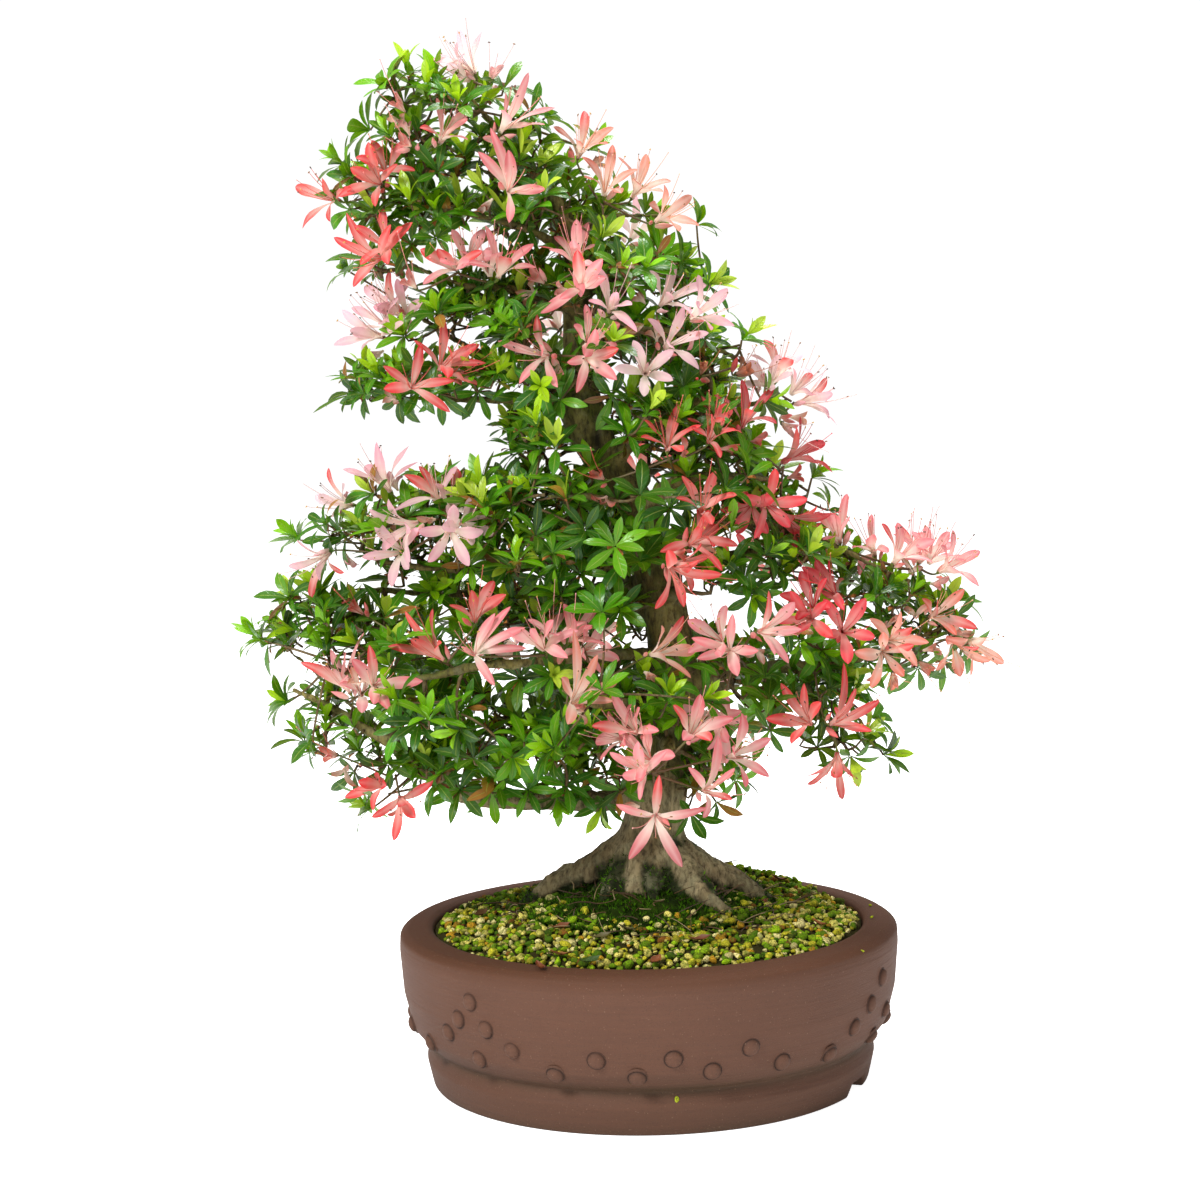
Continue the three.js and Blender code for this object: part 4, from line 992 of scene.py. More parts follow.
# The bed under the grains, and its rings from the edge to the moss.
BED_SECTIONS, BED_RINGS, BED_INSIDE, BED_DEPTH, BED_NOISE = 180, 40, 60, 1.5, (7, 5)
GRAIN_SEED, GRAIN_TRIES, GRAIN_REACH, NEAR_GRAINS = 31, 9000, (64, 160.5), 2600
# Grains thin out inside this radius, where the moss begins.
THIN_FROM, THIN_TO, THIN_WIDTH = 88, 60, 34
GRAIN_LEAST, GRAIN_SPREAD, GRAIN_POWER, GRAIN_TOP = 1.6, 2.5, 1.7, 147
GRAIN_GROWTH, GRAIN_FLATNESS, GRAIN_BRIGHTNESS = 1.18, [1, 1, 0.85], (0.62, 1.4)
ROCK_FLATS, ROCK_DEPTH, ROCK_STRETCH = 11, (0.45, 0.9), (0.68, 1.25)
# Grains by colour, with the share of each, and how much more or less of each there is in front.
GRAIN_COLOURS = [
    ((96, 134, 6), 0.2), ((136, 172, 16), 0.2), ((62, 98, 4), 0.16), ((182, 174, 40), 0.13),
     ((208, 196, 98), 0.1),
    ((230, 216, 144), 0.06), ((184, 136, 30), 0.06), ((118, 70, 24), 0.05), ((50, 58, 10), 0.04),
]
FRONT_FACTORS = [1, 1, 0.8, 1.5, 2.2, 2.6, 1, 0.8, 0.5]
# Grains stuck to the pot's wall and lip: column, row and size.
STUCK_GRAINS = [(677, 1099, 2.3), (870, 905, 1.9), (872, 917, 1.6), (863, 951, 1.8)]
STUCK_BELOW, STUCK_REACH = 121, 0.6
MOSS_SEED, MOSS_SECTIONS, MOSS_RINGS, MOSS_INSIDE = 47, 140, 50, 6
TUFTS, TUFT_BLADES, TUFT_LEAN, TUFT_LENGTH, TUFT_HALF_WIDTH = 4600, 4, 0.6, (2.2, 5.4), 0.45
TUFT_BRIGHTNESS, TWIGLETS, TWIGLET_POINTS, TWIGLET_SIDES = (0.5, 2.3), 230, 5, 4
TWIGLET_COLOURS = [(150, 130, 92), (96, 72, 44), (70, 52, 32)]
# Fallen leaves on the soil: column, row, turn and colour.
LEAF_SCRAPS = [
    (600, 938, 0.2, (92, 84, 44)), (628, 930, 2.6, (104, 96, 60)), (560, 928, 0.4, (120, 66, 34)),
    (655, 962, 1.1, (132, 74, 38)), (560, 955, 2.9, (150, 96, 56)), (760, 905, 0.7, (126, 70, 34)),
    (700, 940, 0.1, (112, 62, 34)), (540, 968, 1.9, (116, 60, 30)), (820, 925, 2.2, (140, 82, 40)),
    (480, 915, 0.9, (90, 60, 32)), (590, 962, 0.5, (60, 84, 30)), (780, 880, 2.5, (120, 64, 30)),
]
SCRAP_LENGTH, SCRAP_ARCH, SCRAP_HALF_WIDTH, SCRAP_HEIGHT = 17, 14, 3.6, 5


def soil_height(x, y):
    r = np.hypot(x, y)
    share = np.clip((SOIL_EDGE[0] - r) / (SOIL_EDGE[0] - MOSS_RADIUS - 4), 0, 1)
    heap = 12 * np.exp(-(((x - 70) / 55) ** 2) - ((y - 105) / 38) ** 2)
    grain = np.sin(x * 0.31 + 2) * np.cos(y * 0.27 - 1) + 0.6 * np.sin(x * 0.19 + y * 0.23)
    rough = np.where((share > 0.01) & (share < 0.99), 1.6 * grain + heap, 0)
    return SOIL_EDGE[1] + (MOSS_FLOOR - SOIL_EDGE[1]) * np.sin(share * math.pi / 2) + rough


def moss_height(x, y):
    share = np.minimum(np.hypot(x - 2, y * 1.05) / MOSS_RADIUS, 1)
    tufts = 1.3 * np.sin(x * 0.21) * np.cos(y * 0.24 + 1)
    return MOSS_FLOOR + 3 + MOSS_RISE * (1 - share) ** 0.9 + tufts


def ground_height(r, x, y):
    """The height of the soil, or of the moss where it is higher."""
    return max(soil_height(x, y), moss_height(x, y) if r < MOSS_RADIUS else 0)


def ball(subdivisions):
    """The points and triangles of a unit ball."""
    work = bmesh.new()
    bmesh.ops.create_icosphere(work, subdivisions=subdivisions, radius=1)
    points = np.array([v.co for v in work.verts])
    faces = [[v.index for v in f.verts] for f in work.faces]
    work.free()
    return points, faces


def pebbles(count, rng, fineness):
    """Angular grains: unit balls whose bulges are cut by random flats."""
    points, faces = ball(fineness)
    out = []
    for _ in range(count):
        flats = units(rng.normal(size=(ROCK_FLATS, 3)))
        depth = rng.uniform(*ROCK_DEPTH, ROCK_FLATS)
        rock = points.copy()
        for flat, limit in zip(flats, depth):
            over = rock @ flat - limit
            rock -= np.clip(over, 0, None)[:, None] * flat
        out.append(rock * rng.uniform(*ROCK_STRETCH, 3))
    return out, np.array(faces)


def turned(rng):
    """A random turn."""
    matrix, _ = np.linalg.qr(rng.normal(size=(3, 3)))
    return matrix


def sector_of(turn):
    """The quarter of the soil that a turn lies in."""
    if math.pi / 4 < abs(turn) < 3 * math.pi / 4:
        return "front" if turn < 0 else "back"
    return "right" if abs(turn) < math.pi / 2 else "left"


def build_bed():
    """The soil as one body under its grains."""
    bed = Shape()
    edge = [(MESH_SIDE * 0.75, FLOOR_TOP + 2 * GAP + MESH_THICKNESS), (MESH_SIDE * 0.75, FLOOR_TOP + GAP),
            (SOIL_CORNER, FLOOR_TOP + GAP), SOIL_EDGE]
    turns = np.arange(BED_SECTIONS) * FULL_TURN / BED_SECTIONS
    rows = [np.stack([*polar(r, turns), np.full(BED_SECTIONS, z)], 1) for r, z in edge]
    for r in np.linspace(SOIL_EDGE[0] - 2, BED_INSIDE, BED_RINGS):
        x, y = polar(r, turns)
        height = soil_height(x, y) - BED_DEPTH + noise(np.stack([x, y, 0 * x], 1), *BED_NOISE)
        rows.append(np.stack([x, y, height], 1))
    bed.add(np.concatenate(rows), capped_faces(len(rows), BED_SECTIONS), tone("earth"))
    bed.make("soil_bed", "soil", [EARTH], ["soil"])


def build_grains():
    """The grains on the soil, in four pieces by where they lie."""
    rng = np.random.default_rng(GRAIN_SEED)
    rocks, rock_faces = pebbles(24, rng, 2)
    coarse, coarse_faces = pebbles(16, rng, 1)
    colours = np.array([linear(*c) for c, _ in GRAIN_COLOURS])
    shares = np.array([s for _, s in GRAIN_COLOURS])
    grains = {name: Shape() for name in ("grit_front", "grit_left", "grit_right", "grit_back")}
    placed = []
    for _ in range(GRAIN_TRIES):
        r = math.sqrt(rng.uniform(GRAIN_REACH[0] ** 2, GRAIN_REACH[1] ** 2))
        turn = rng.uniform(-math.pi, math.pi)
        if r < THIN_FROM and rng.random() > ((r - THIN_TO) / THIN_WIDTH) ** 2:
            continue
        size = GRAIN_LEAST + GRAIN_SPREAD * rng.random() ** GRAIN_POWER
        x, y = r * math.cos(turn), r * math.sin(turn)
        if SOIL_EDGE[0] - 1 - r < size:
            continue
        near = np.array(placed[-NEAR_GRAINS:]) if placed else np.zeros((1, 3)) + 1e3
        if np.min(np.hypot(near[:, 0] - x, near[:, 1] - y) - near[:, 2] * 0.8) < size * 0.35:
            continue
        placed.append((x, y, size))
        lift = rng.uniform(-0.2, 0.5) * size
        z = min(ground_height(r, x, y) + lift, GRAIN_TOP - size)
        mix = shares * FRONT_FACTORS if y < 0 else shares
        colour = colours[rng.choice(len(colours), p=mix / mix.sum())] * rng.uniform(*GRAIN_BRIGHTNESS)
        sector = sector_of(turn)
        kinds, kind_faces = (coarse, coarse_faces) if sector == "back" else (rocks, rock_faces)
        rock = kinds[rng.integers(len(kinds))] @ turned(rng).T * size * GRAIN_GROWTH * GRAIN_FLATNESS
        grains["grit_" + sector].add(rock + [x, y, z], kind_faces, colour)
    for column, row, size in STUCK_GRAINS:
        near = (at(column, row, depth) for depth in np.arange(-200, 60, 0.5))
        place = next(p for p in near
                     if p[2] < STUCK_BELOW and math.hypot(p[0], p[1]) < wall_radius(p[2]) + STUCK_REACH)
        rock = rocks[rng.integers(len(rocks))] @ turned(rng).T * size + place
        grains["grit_front"].add(rock, rock_faces, tone("stuck_grain"))
    for name, shape in grains.items():
        shape.make(name, "soil", [GRIT])


def build_moss():
    """The mound of moss, and the tufts on it."""
    rng = np.random.default_rng(MOSS_SEED)
    shape = Shape()
    turns = np.arange(MOSS_SECTIONS) * FULL_TURN / MOSS_SECTIONS
    rows = []
    for r in [MOSS_RADIUS, *np.linspace(MOSS_RADIUS - 1, MOSS_INSIDE, MOSS_RINGS)]:
        x, y = polar(r, turns)
        flat = np.stack([x, y, 0 * x], 1)
        z = moss_height(x, y) + 1.6 * noise(flat, 9, 8) + 0.8 * noise(flat, 3, 21)
        rows.append(np.stack([x, y, np.maximum(z, MOSS_FLOOR + 0.6)], 1))
    rows[0][:, 2] = MOSS_FLOOR + GAP
    points = np.concatenate(rows)
    shade = np.clip(noise(points, 16, 3) * 0.8 + 0.5, 0, 1)[:, None]
    colour = blend(tone("moss_dark"), tone("moss_light"), shade)
    shape.add(points, capped_faces(len(rows), MOSS_SECTIONS), colour)
    shape.make("moss_mound", "moss", [MOSS], ["moss"])

    tufts = Shape()
    for _ in range(TUFTS):
        r, turn = (MOSS_RADIUS + 5) * math.sqrt(rng.uniform(0.04, 1)), rng.uniform(0, FULL_TURN)
        x, y = r * math.cos(turn), r * math.sin(turn)
        foot = np.array([x, y, moss_height(x, y) - 0.5])
        colour = linear(*(np.array(TONES["moss_tuft"]) * rng.uniform(*TUFT_BRIGHTNESS)))
        for _ in range(TUFT_BLADES):
            lean = np.array([rng.normal() * TUFT_LEAN, rng.normal() * TUFT_LEAN, 1])
            tip = foot + unit(lean) * rng.uniform(*TUFT_LENGTH)
            side = unit(np.cross(lean, rng.normal(size=3))) * TUFT_HALF_WIDTH
            tufts.add([foot - side, foot + side, tip], [[0, 1, 2]], colour)
    tufts.make("moss_tufts", "moss", [MOSS])
    build_litter(rng)


def build_litter(rng):
    """Twiglets and fallen leaves on the soil and the moss."""
    litter = Shape()
    for _ in range(TWIGLETS):
        r, turn = rng.uniform(40, 112), rng.uniform(0, FULL_TURN)
        x, y = r * math.cos(turn), r * math.sin(turn)
        away = rng.uniform(0, FULL_TURN)
        reach = np.array([math.cos(away), math.sin(away), rng.uniform(-0.1, 0.5)]) * rng.uniform(9, 26)
        start = np.array([x, y, ground_height(r, x, y) + 2.5])
        bent = start + reach * 0.5 + rng.normal(size=3) * 3 + [0, 0, 2]
        radii = np.linspace(0.55, 0.3, TWIGLET_POINTS) * rng.uniform(0.7, 1.3)
        points, faces = tube(bezier(start, bent, start + reach, TWIGLET_POINTS), radii, TWIGLET_SIDES)
        litter.add(points, faces, pick(TWIGLET_COLOURS, rng))
    for column, row, turn, colour in LEAF_SCRAPS:
        near = (at(column, row, depth) for depth in np.arange(-160, 160, 2.0))
        place = next(p for p in near if p[2] < soil_height(p[0], p[1]) + SCRAP_HEIGHT)
        along = LEAF_SHARES[:, None] - 0.5
        way = np.array([math.cos(turn), math.sin(turn), 0.06])
        line = place + way * along * SCRAP_LENGTH + UP * along**2 * SCRAP_ARCH
        side = np.broadcast_to(np.array([-math.sin(turn), math.cos(turn), 0.2]), line.shape)
        widths = outline(LEAF_OUTLINE, LEAF_SHARES) * SCRAP_HALF_WIDTH
        points, faces, marks = ribbon(line, LEAF_SHARES, side, widths, 0.35, 0.2, 0.2)
        litter.add(points, faces, linear(*colour), marks)
    litter.make("soil_litter", "soil", [FINE])


# ---- Wood --------------------------------------------------------------------------------------

# The swelling on the trunk and the old wound beside it: column, row, half width, half height.
BURR = (584, 412, 26, 30)
WOUND = (598, 440, 5, 19)
ROOTS_AT, ROOT_STEP, ROOT_BEND, ROOTS_FLATNESS = (2, 5), 5, 0.12, 0.95
VOXEL, WOOD_SIDES, LEAST_RADIUS = 2.5, 14, 1.9
SMOOTHINGS, SMOOTHING = 3, 0.6
# Small roots between the main ones, in the same terms: degrees, reach, thickness, droop.
ROOTLETS = [
    (200, 74, 5, 8), (247, 62, 5.5, 9), (262, 84, 5, 12), (299, 74, 5.5, 9), (310, 62, 4.5, 12),
    (338, 86, 5.5, 6), (18, 70, 5, 8), (88, 66, 5.5, 8), (150, 74, 5, 8),
]
# The bare backs of the roots in front, as columns and rows, with their half widths. Moss covers what
# lies between them.
BARE_BACKS = [
    ([(655, 815), (619, 835), (594, 852), (564, 871), (543, 881)], 15), ([(588, 858), (589, 878)], 6),
    ([(648, 830), (636, 860), (632, 881), (634, 907), (637, 917)], 8),
    ([(672, 850), (695, 886), (712, 902), (725, 915)], 9),
    ([(684, 845), (716, 869), (742, 881), (754, 893)], 11), ([(655, 815), (660, 845)], 22),
]
# Up to LOW_TOP the wood is old and rough, over LOW_FADE; from ALOFT_FROM it is mossy, over ALOFT_FADE.
LOW_TOP, LOW_FADE, ALOFT_FROM, ALOFT_FADE = 205, 60, 215, 40
# The rows between which the roots' own backs say where moss grows, and the one where it starts.
BACK_ROWS, BETWEEN_FROM, BETWEEN_FADE = (846, 935), 844, 16
FUZZ_SEED, FUZZ_PLACES, FUZZ_BLADES, FUZZ_HEIGHTS = 88, 2400, 3, (128, 200)
FUZZ_BRIGHTNESS, FUZZ_LENGTH, FUZZ_HALF_WIDTH = (0.5, 2.5), (1.6, 3.8), 0.4


def beyond_backs(columns, rows):
    """How far a point is seen from the nearest root's back, in half widths of that root."""
    seen = np.stack([columns, rows], 1)
    nearest = np.full(len(seen), 99.0)
    for line, half_width in BARE_BACKS:
        for a, b in zip(np.array(line, float), np.array(line[1:], float)):
            share = np.clip((seen - a) @ (b - a) / ((b - a) @ (b - a)), 0, 1)
            gap = np.linalg.norm(seen - a - share[:, None] * (b - a), axis=1)
            nearest = np.minimum(nearest, gap / half_width)
    return nearest


def root_line(degrees, reach, thickness, droop):
    """A root's line from inside the trunk down into the soil."""
    angle = math.radians(degrees)
    rows = []
    stations = [(8, 186 - droop * 2, 0.9), (34, 161 - droop, 1.1), (reach * 0.72, 139, 0.75),
                (reach + 6, 113, 0.4)]
    for i, (out, height, share) in enumerate(stations):
        bend = angle + ROOT_BEND * math.sin(degrees + i * 1.7)
        rows.append([ROOTS_AT[0] + out * math.cos(bend), ROOTS_AT[1] + out * math.sin(bend) * ROOTS_FLATNESS,
                     height, share * thickness])
    return smooth_line(rows, ROOT_STEP)


def fused(shape, name, voxel):
    """The points and faces of a shape whose overlapping bodies are grown together."""
    work = shape.make(name, "bark", [])
    modifier = work.modifiers.new("fuse", "REMESH")
    modifier.mode, modifier.voxel_size = "VOXEL", voxel * MM
    grown = work.evaluated_get(bpy.context.evaluated_depsgraph_get()).to_mesh()
    points = np.zeros(len(grown.vertices) * 3)
    grown.vertices.foreach_get("co", points)
    faces = [list(p.vertices) for p in grown.polygons]
    work.to_mesh_clear()
    bpy.data.objects.remove(work)
    return points.reshape(-1, 3) / MM - POT_PLACE / MM, faces


def vertex_normals(points, quads):
    a, b, c, d = (points[quads[:, k]] for k in range(4))
    face = np.cross(c - a, d - b)
    out = np.zeros_like(points)
    for k in range(4):
        np.add.at(out, quads[:, k], face)
    return units(out)


def smoothed(points, quads, times):
    """Each point moved towards the middle of its neighbours, so many times."""
    for _ in range(times):
        total, count = np.zeros_like(points), np.zeros(len(points))
        for k in range(4):
            for m in (1, 3):
                np.add.at(total, quads[:, k], points[quads[:, (k + m) % 4]])
                np.add.at(count, quads[:, k], 1)
        points = points * (1 - SMOOTHING) + total / count[:, None] * SMOOTHING
    return points


def nearness(columns, rows, patch):
    """1 where a point is seen at a patch's middle, and less outwards."""
    column, row, wide, tall = patch
    return np.exp(-(((columns - column) / wide) ** 2) - ((rows - row) / tall) ** 2)


def build_wood():
    """Trunk, branches and roots as one skin with its relief and colours, and moss on the roots."""
    rough = Shape()
    for line in [TRUNK_LINE, *BRANCH_LINES, *(root_line(*row) for row in ROOTS + ROOTLETS)]:
        points, _ = tube(line[:, :3], np.maximum(line[:, 3], LEAST_RADIUS), WOOD_SIDES)
        rough.add(points, capped_faces(len(line), WOOD_SIDES), (0, 0, 0))
    points, faces = fused(rough, "wood_work", VOXEL)
    quads = np.array([f if len(f) == 4 else f + [f[-1]] for f in faces])
    points = smoothed(points, quads, SMOOTHINGS)
    normals = vertex_normals(points, quads)

    low = np.clip((LOW_TOP - points[:, 2]) / LOW_FADE, 0, 1)
    ridges = noise(points, (7, 7, 22), 11, 3)
    knots = noise(points, 16, 12, 2)
    cracks = np.abs(noise(points, (4.5, 4.5, 16), 15, 2))
    away = np.linalg.norm(points[:, None, :2] - TRUNK_LINE[None, ::6, :2], axis=2).min(1)
    outer = np.clip(away / 40, 0, 1)
    lift = (1.2 + 1.0 * low) * ridges * (1 - 0.6 * outer * (1 - low)) + 1.8 * low * knots
    lift += (0.7 + 0.6 * low) * (np.minimum(cracks, 0.35) - 0.2) * 2
    columns, rows = seen_at(points)
    front = (normals[:, 1] < 0.3).astype(float)
    wound = front * nearness(columns, rows, WOUND)
    burr = nearness(columns, rows, BURR)
    lift += burr * (1.5 + 2.5 * noise(points, 11, 33, 3)) - 2.2 * wound
    beyond = beyond_backs(columns, rows)
    between = front * np.clip((beyond + 0.35 * knots + 0.3 * cracks - 0.9) * 2.4, 0, 1)
    between = between * np.clip((rows - BETWEEN_FROM) / BETWEEN_FADE, 0, 1)
    lift += 1.6 * front * low * np.clip(1 - beyond, 0, 1) - 2.4 * low * between
    points = points + normals * lift[:, None]

    hollow = np.clip(-(ridges + 0.8 * knots) * 1.5 + 0.2, 0, 1)
    mossy = np.clip(low * hollow * 2.6 + np.clip((150 - points[:, 2] + 14 * knots) / 12, 0, 1), 0, 1)
    at_roots = (front > 0) & (rows > BACK_ROWS[0]) & (rows < BACK_ROWS[1])
    mossy = np.where(at_roots, 0.3 * mossy + 0.95 * between, mossy).clip(0, 1)
    aloft = np.clip((points[:, 2] - ALOFT_FROM) / ALOFT_FADE, 0, 1)
    patches = np.clip(noise(points, 26, 71, 3) * 2.2 + 0.3, 0, 1)
    patches = 0.75 * patches * np.clip(0.55 + normals[:, 2], 0, 1) + 0.8 * burr * (0.4 + 0.6 * hollow)
    mossy = np.maximum(mossy, aloft * patches)
    shade = np.clip(0.5 + 0.6 * noise(points, 25, 5) + 0.5 * (cracks - 0.3), 0, 1)[:, None]
    below, above = (blend(tone(part + "_dark"), tone(part + "_light"), shade) for part in ("root", "bark"))
    green = blend(tone("root_moss"), tone("bark_moss"), aloft[:, None])
    colour = blend(blend(below, above, aloft[:, None]), green, mossy[:, None])
    shape = Shape()
    shape.add(points, faces, blend(colour, tone("wound"), wound[:, None]))
    shape.make("trunk_and_branches", "bark", [BARK], ["trunk"])

    rng = np.random.default_rng(FUZZ_SEED)
    fuzz = Shape()
    lowest, highest = FUZZ_HEIGHTS
    grown_over = np.flatnonzero((mossy > 0.6) & (points[:, 2] < highest) & (points[:, 2] > lowest))
    for k in rng.choice(grown_over, FUZZ_PLACES):
        green = linear(*(np.array(TONES["root_fuzz"]) * rng.uniform(*FUZZ_BRIGHTNESS)))
        for _ in range(FUZZ_BLADES):
            way = unit(normals[k] + rng.normal(size=3) * 0.6 + [0, 0, 0.3])
            side = unit(np.cross(way, rng.normal(size=3))) * FUZZ_HALF_WIDTH
            foot = points[k] - normals[k] * 0.4 + rng.normal(size=3) * 0.6
            fuzz.add([foot - side, foot + side, foot + way * rng.uniform(*FUZZ_LENGTH)], [[0, 1, 2]], green)
    fuzz.make("root_moss", "moss", [MOSS])


# ---- Leaves and flowers ------------------------------------------------------------------------

GREENS = [linear(*c) for c in (
    (36, 96, 6), (50, 124, 4), (82, 158, 6), (44, 98, 16), (112, 178, 6), (24, 70, 12), (64, 114, 26),
)]
YOUNG = [linear(*c) for c in ((150, 206, 10), (176, 218, 24), (124, 190, 8), (192, 218, 64))]
SCALE_COLOURS = [(150, 88, 40), (176, 112, 52), (112, 66, 34)]
ANTHER_COLOURS = [(84, 52, 34), (140, 92, 44), (196, 150, 70)]
FILAMENT_COLOURS = {
    "pale": (250, 214, 208), "pink": (248, 180, 172), "coral": (244, 132, 118), "crimson": (232, 92, 100),
    "salmon": (248, 190, 158), "withered": (196, 132, 98),
}
# How blades differ from their line, width and colour; and how leaves fold, curl and wave.
BLADE_SWAY, BLADE_BRIGHTNESS = 0.05, (0.84, 1.14)
LEAF_FOLD, YOUNG_FOLD, LEAF_CURL, LEAF_WAVE = 0.28, 0.4, -0.14, 0.05
HUB_SHARE = 0.35
SLIM_WIDTH, BROWN_CHANCE = 3.9, 0.03
# Painted shade: leaves of whorls behind others are darker and more olive by these factors.
PAINTED_SHADE_BEHIND = np.array([0.78, 0.52, 0.6])
SCALE_SHARES, SCALES, SCALE_TURN = np.array([0, 0.4, 0.75, 1]), 3, 2.1
# Petals: grown past the construction's, led out of the throat by their claws; and how they fold and curl.
PETAL_GROWTH, PETAL_HALF_WIDTH, CLAW_SHARE, SEEN_SHARE = 1.08, 4.6, 0.42, 0.9
OPEN_FOLD, OPEN_CURL, CURLED_FOLD, CURLED_CURL, PETAL_WAVE = (0.2, 0.5), -0.22, 0.7, 0.25, (0.1, 0.3)
SECTOR_CHANCE = 0.1
BUD_SHARES, BUD_GIRTHS = np.array([0, 0.2, 0.45, 0.7, 0.9, 1]), np.array([0.5, 0.85, 1, 0.7, 0.3, 0.05])
BUD_SLIMNESS, BUD_SIDES = 0.17, 7
STAMENS, CURLED_STAMENS, FILAMENT_POINTS, FILAMENT_SIDES = 6, 3, 7, 3
ANTHER_SIZE, STIGMA_SIZE = np.array([0.55, 0.55, 1.2]), np.array([0.55, 0.55, 0.55])
CALYX_BEHIND, CALYX_LENGTH, CALYX_SIDES, STALK_POINTS, STALK_SIDES = 2.6, 3.2, 8, 7, 6
WITHERED_PETALS = 3
BALL = ball(1)


def add_blade(shape, line, shares, side, width, form, colour, fold, rng, curl=0.0, wave=0.0,
              columns=BLADE_COLUMNS):
    """A leaf or petal along a line, with a slight sway to one side."""
    sway = rng.normal(0, BLADE_SWAY) * shares[:, None] ** 2 * np.linalg.norm(line[-1] - line[0])
    points, faces, marks = ribbon(line + side * sway, shares, side, outline(form, shares) * width, fold,
                                  curl, wave, rng.uniform(0, 6), columns)
    shape.add(points, faces, colour * rng.uniform(*BLADE_BRIGHTNESS), marks)


def add_leaf(shape, tip, angle, blade, width, colour, fold, rng, columns=BLADE_COLUMNS):
    line, side = arc_line(tip["centre"], tip["axis"], tip["spin"], angle, tip["form"]["hub"] * HUB_SHARE,
                          blade["length"], blade["inner"], blade["outer"], LEAF_SHARES)
    add_blade(shape, line, LEAF_SHARES, side, width, LEAF_OUTLINE, colour, fold, rng, LEAF_CURL, LEAF_WAVE,
              columns)


def add_scales(shape, tip, rng):
    """Short brown bud scales under a whorl."""
    turn = rng.uniform(0, 6)
    for i in range(SCALES):
        line, side = arc_line(tip["centre"] - tip["axis"] * rng.uniform(0, 3), tip["axis"], turn,
                              i * SCALE_TURN, 0.8, rng.uniform(6, 12), 0.7, rng.uniform(-1.2, 0.2),
                              SCALE_SHARES)
        add_blade(shape, line, SCALE_SHARES, side, 1.8, PETAL_OUTLINE, pick(SCALE_COLOURS, rng), 0.3, rng,
                  columns=SLIM_COLUMNS)


def add_whorl(shape, tip, rng, young, more=0, columns=BLADE_COLUMNS):
    """A whorl of grown leaves, more smaller ones between them, and a young shoot of erect pale leaves."""
    # Whorls behind others carry a painted shade factor that darkens their leaves.
    painted_shade = tip.get("painted_shade", 1)
    base = GREENS[rng.integers(len(GREENS))] * painted_shade
    count = len(tip["blades"])
    for i, blade in enumerate(tip["blades"]):
        colour = base * 0.55 + 0.45 * GREENS[rng.integers(len(GREENS))] * painted_shade
        if rng.random() < BROWN_CHANCE:
            colour = pick(SCALE_COLOURS, rng)
        broad = LEAVES["half_width"] if more else SLIM_WIDTH
        width = broad * rng.uniform(0.8, 1.12) * min(1.15, blade["length"] / 26)
        add_leaf(shape, tip, i * FULL_TURN / count, blade, width, colour, LEAF_FOLD, rng, columns)
    for i in range(more):
        length = rng.uniform(18, 27)
        blade = dict(length=length, inner=rng.uniform(0.4, 1.1), outer=rng.uniform(-0.5, 0.5))
        colour = base * 0.6 + 0.4 * GREENS[rng.integers(len(GREENS))]
        turn = math.pi / count + i * FULL_TURN / more
        add_leaf(shape, tip, turn, blade, length * 0.17, colour, LEAF_FOLD, rng, columns)
    if young:
        pale = YOUNG[rng.integers(len(YOUNG))]
        shoots = int(rng.integers(3, 6))
        lifted = dict(tip, centre=tip["centre"] + tip["axis"] * rng.uniform(1, 6),
                      form=dict(tip["form"], hub=1))
        turn = rng.uniform(0, 6)
        for i in range(shoots):
            length = rng.uniform(13, 25)
            blade = dict(length=length, inner=rng.uniform(1.1, 1.4), outer=rng.uniform(0.4, 1.2))
            add_leaf(shape, lifted, turn + i * FULL_TURN / shoots, blade, length * 0.16, pale, YOUNG_FOLD,
                     rng, columns)


def petal_end(tip, mark, length):
    """Where a petal ends whose tip is seen at a column and row: on the side that its flower faces."""
    centre = tip["centre"]
    level = np.linalg.norm(at(*mark, centre[1]) - centre)
    deep = math.sqrt(max((SEEN_SHARE * length) ** 2 - level**2, 16))
    ends = [at(*mark, centre[1] + sign * deep) for sign in (-1, 1)]
    return max(ends, key=lambda end: (end - centre) @ tip["axis"])


def petal_lines(tip):
    """The middle line and side direction of each petal, those seen in front led to their tips."""
    centre, axis = tip["centre"], tip["axis"]
    x, y = hub_frame(axis, tip["spin"])
    count = len(tip["blades"])
    turns = [i * FULL_TURN / count for i in range(count)]
    lengths = [blade["length"] * (1 if tip["curled"] else PETAL_GROWTH) for blade in tip["blades"]]
    lines = [arc_line(centre, axis, tip["spin"], turn, tip["form"]["hub"] * HUB_SHARE, length,
                      blade["inner"], blade["outer"], PETAL_SHARES)
             for turn, length, blade in zip(turns, lengths, tip["blades"])]
    free = list(range(count))
    t = PETAL_SHARES[:, None]
    for mark in PETAL_TIPS.get(tip["place"], []):
        end = petal_end(tip, mark, max(lengths))
        reach = end - centre
        control = centre + unit(axis * 0.75 + unit(reach) * 0.45) * np.linalg.norm(reach) * CLAW_SHARE
        line = (1 - t) ** 2 * centre + 2 * t * (1 - t) * control + t**2 * end
        made = line, np.broadcast_to(unit(np.cross(axis, reach)), (len(t), 3))
        if free:
            k = max(free, key=lambda i: (x * math.cos(turns[i]) + y * math.sin(turns[i])) @ unit(reach))
            free.remove(k)
            lines[k] = made
        else:
            lines.append(made)
    return lines


